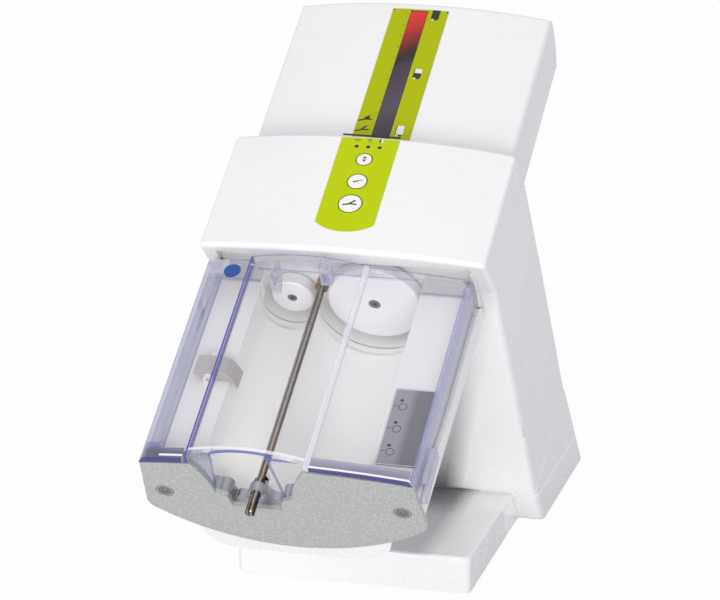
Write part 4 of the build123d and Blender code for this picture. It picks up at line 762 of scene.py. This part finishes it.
forkBars = [  # along, aside, length, width and lean of a stem that splits in two
    (-0.42, -0.16, 0.80, 0.20, 10.0), (0.24, 0.20, 0.78, 0.20, 38.0), (0.40, -0.14, 0.74, 0.18, -6.0)]


def fork(shape, x, s, size, turn=0.0):
    c, n = cos(radians(turn)), sin(radians(turn))
    for along, aside, wide, tall, lean in forkBars:
        bar(shape, x + size * (along * c - aside * n), s + size * (along * n + aside * c),
            size * wide, size * tall, turn + lean)


def crownOver(halfWidth, edge, crown):
    radius = (halfWidth ** 2 + crown ** 2) / (2 * crown)
    return lambda x: (edge + crown - radius + sqrt(radius ** 2 - (x / mm) ** 2)) * mm


def levelAt(out):
    return lambda x: out * mm


def layMarks(name, marks, height, thick, finish, body):
    shape = bmesh.new()
    for draw, *values in marks:
        draw(shape, *values)
    top = bmesh.ops.extrude_face_region(shape, geom=list(shape.faces))
    raised = {item for item in top["geom"] if isinstance(item, bmesh.types.BMVert)}
    for v in shape.verts:
        v.co.z = height(v.co.x) + (thick * mm if v in raised else 0.0)
    newPiece(name, shape, finish, body)


filmTop, inkThick = 0.36, 0.05
buttons = {
    "top": 15.92, "ringGap": 0.75, "ringWidth": 0.42,
    # place along, radius, sign
    "mix_button": (199.6, 6.9, [(fork, 0.0, 199.6, 5.4, 4.0)]),
    "feed_button": (218.4, 5.7, [  # a nozzle with a drop
        (bar, -0.9, 218.0, 3.4, 0.9, 22), (bar, 1.5, 219.0, 2.0, 0.4, 22), (disc, 2.8, 219.3, 0.4, 12)]),
    "retract_button": (237.2, 4.6, [(arrow, 0.2, 236.05, 1.35, 180), (arrow, 0.2, 238.35, 1.35)]),
}
consoleSigns = {
    "half": 88.8, "edge": 3.8, "crown": 11.4,
    "ink": [
        (bar, 0, 257.8, 36.4, 1.5),  # line at the label's rear edge
        (ring, -8.6, 253.4, 0.9, 0.22, 18), (ring, -6.8, 253.4, 0.9, 0.22, 18),
        (ring, 0, 253.4, 1.25, 0.25, 20), (bar, 0, 254.3, 0.3, 1.3), (bar, 6.5, 253.6, 0.9, 2.9)],
    "pale": [(bar, 7.6, 253.6, 1.2, 2.9)],
}
headSigns = {
    "half": 82.4, "edge": -11.4, "crown": 10.4, "paleShare": 0.6,
    "levels": ((385.0, 1.0), (331.0, 0.5), (280.0, 0.0)), "tall": 7.8,  # full, half and empty cartridge
    "scale": (274, 386, 10),
    "ink": [
        (fork, -13.6, 279.2, 5.6, 8.0), (fork, -13.6, 288.4, 5.6, 8.0), (disc, -12.4, 288.9, 1.6, 16),
        (bar, 0, 387.9, 36.2, 1.1)],
}
infoSigns = {
    "middle": (64.1, 53.0), "size": (24.4, 57.6), "line": 0.5, "top": -12.8, "across": 57.8,
    "along": (69.3, 52.4, 35.0),
}


def buttonMarks(b):
    for body in ("mix_button", "feed_button", "retract_button"):
        marks = b[body][2]
        layMarks(body + "Mark", marks, levelAt(b["top"]), inkThick, "markBlack", body)


def consoleMarks(c, b):
    ink = list(c["ink"])
    for body in ("mix_button", "feed_button", "retract_button"):
        along, radius, _ = b[body]
        ink.append((ring, 0, along, radius + b["ringGap"], b["ringWidth"], 48))
    height = crownOver(c["half"], c["edge"] + filmTop, c["crown"])
    layMarks("consoleMarks", ink, height, inkThick, "markBlack", "base")
    layMarks("consolePaleMarks", c["pale"], height, inkThick, "markWhite", "base")


def headMarks(c):
    ink, pale = list(c["ink"]), []
    tall = c["tall"]
    for s, level in c["levels"]:
        ink.append((bar, 10.6, s - tall * (1 - level) / 2, 4.9, tall * level + 0.3))
        ink += [(bar, 8.3, s, 0.5, tall), (bar, 11.4, s - tall / 2 - 0.8, 2.2, 1.0)]
        pale += [(bar, 10.6, s, 4.8, tall), (bar, 9.4, s - tall / 2 - 0.9, 1.2, 1.2)]
    ink += [(bar, -7.6, s, 1.6, 0.18) for s in range(*c["scale"])]  # beside the window
    height = crownOver(c["half"], c["edge"] + filmTop, c["crown"])
    layMarks("headMarks", ink, height, inkThick, "markBlack", "base")
    layMarks("headPaleMarks", pale, height, inkThick * c["paleShare"], "markWhite", "base")


def infoMarks(c):
    ink = []
    for s in c["along"]:
        ink += [
            (disc, c["across"] - 0.5, s + 3.6, 1.15, 16),
            (ring, c["across"] + 1.0, s - 1.2, 2.7, 0.5, 24),
            (bar, c["across"] - 3.6, s - 0.8, 2.4, 0.4, 8)]
    edge = [(outline, *c["middle"], *c["size"], c["line"])]
    layMarks("infoLines", edge, levelAt(c["top"]), inkThick, "markWhite", "base")
    layMarks("infoSigns", ink, levelAt(c["top"]), inkThick, "markBlack", "base")


consoleMarks(consoleSigns, buttons)
buttonMarks(buttons)
headMarks(headSigns)
infoMarks(infoSigns)
print("printed marks laid")


# Strips that close the lip beside the tray's rear wall
liners = {"across": 79.3, "along": 172.9, "out": -5.4, "size": (2.4, 3.4, 11.0)}


def makeLiners(p):
    shape = bmesh.new()
    for side in (-1, 1):
        place = Matrix.Translation(Vector((side * p["across"], p["along"], p["out"])) * mm)
        bmesh.ops.create_cube(shape, size=mm, matrix=place @ Matrix.Diagonal((*p["size"], 1)))
    newPiece("lipLiners", shape, "glossWhite", "base")


makeLiners(liners)
print("lip liners made")


# Studio: floor, world and lamps
studio = {
    "floorSize": 14.0, "floorPlace": (0, 3.0, -0.0002), "floorTone": (236, 236, 238),
    "floorDrift": (240, 240, 242), "floorGlow": 0.95,
    "worldTone": (0.97, 0.96, 1.0), "worldLevel": 0.70, "lampTone": (1.0, 0.985, 0.965),
    "lamps": [
        # name, place, aim, size, power
        ("keyLamp", (-1.5, -1.9, 2.2), (0.0, -0.05, 0.15), 1.6, 12.0),
        ("frontLamp", (-0.25, -2.5, 0.28), (0.0, -0.1, 0.2), 1.2, 18.6),
        ("fillLamp", (0.85, -2.6, 0.28), (0.05, -0.05, 0.2), 0.9, 24.0),
        ("topLamp", (0.1, 0.4, 2.6), (0.0, -0.05, 0.15), 1.8, 4.0),
    ],
}


def makeFloor(c):
    shape = bmesh.new()
    bmesh.ops.create_grid(shape, x_segments=1, y_segments=1, size=c["floorSize"] / 2)
    mesh = bpy.data.meshes.new("floor")
    shape.to_mesh(mesh)
    shape.free()
    floor = bpy.data.objects.new("floor", mesh)
    floor.location = c["floorPlace"]
    bpy.context.scene.collection.objects.link(floor)
    sheet = Sheet("paleFloor")
    drift = sheet.noise(3.0)
    colour = sheet.mix(drift, tone(*c["floorTone"]), tone(*c["floorDrift"]))
    matt = sheet.surface({"Base Color": colour, "Roughness": 0.7 + drift * 0.1})
    glow = sheet.add("ShaderNodeEmission", {}, {"Color": (1, 1, 1, 1), "Strength": 1.0})
    seen = sheet.wire("ShaderNodeLightPath", output="Is Camera Ray")
    blend = sheet.add("ShaderNodeMixShader", {}, {0: seen * c["floorGlow"], 1: matt, 2: glow.outputs[0]})
    mesh.materials.append(sheet.finish(blend.outputs[0]))


def makeWorld(c):  # white to the camera, softer as light
    world = bpy.data.worlds.new("studioWorld")
    bpy.context.scene.world = world
    world.use_nodes = True
    tree = world.node_tree
    tree.nodes.clear()
    out = tree.nodes.new("ShaderNodeOutputWorld")
    rays = tree.nodes.new("ShaderNodeLightPath")
    mixed = tree.nodes.new("ShaderNodeMixShader")
    lit, shown = tree.nodes.new("ShaderNodeBackground"), tree.nodes.new("ShaderNodeBackground")
    lit.inputs[0].default_value = (*c["worldTone"], 1)
    lit.inputs[1].default_value = c["worldLevel"]
    shown.inputs[0].default_value = (1, 1, 1, 1)
    tree.links.new(rays.outputs["Is Camera Ray"], mixed.inputs[0])
    tree.links.new(lit.outputs[0], mixed.inputs[1])
    tree.links.new(shown.outputs[0], mixed.inputs[2])
    tree.links.new(mixed.outputs[0], out.inputs[0])


def makeLamps(c):
    for name, place, aim, size, power in c["lamps"]:
        light = bpy.data.lights.new(name, "AREA")
        light.energy, light.size, light.color = power, size, c["lampTone"]
        lamp = bpy.data.objects.new(name, light)
        lamp.location = place
        lamp.rotation_euler = (Vector(aim) - Vector(place)).to_track_quat("-Z", "Y").to_euler()
        bpy.context.scene.collection.objects.link(lamp)


makeFloor(studio)
makeWorld(studio)
makeLamps(studio)
print("studio set")
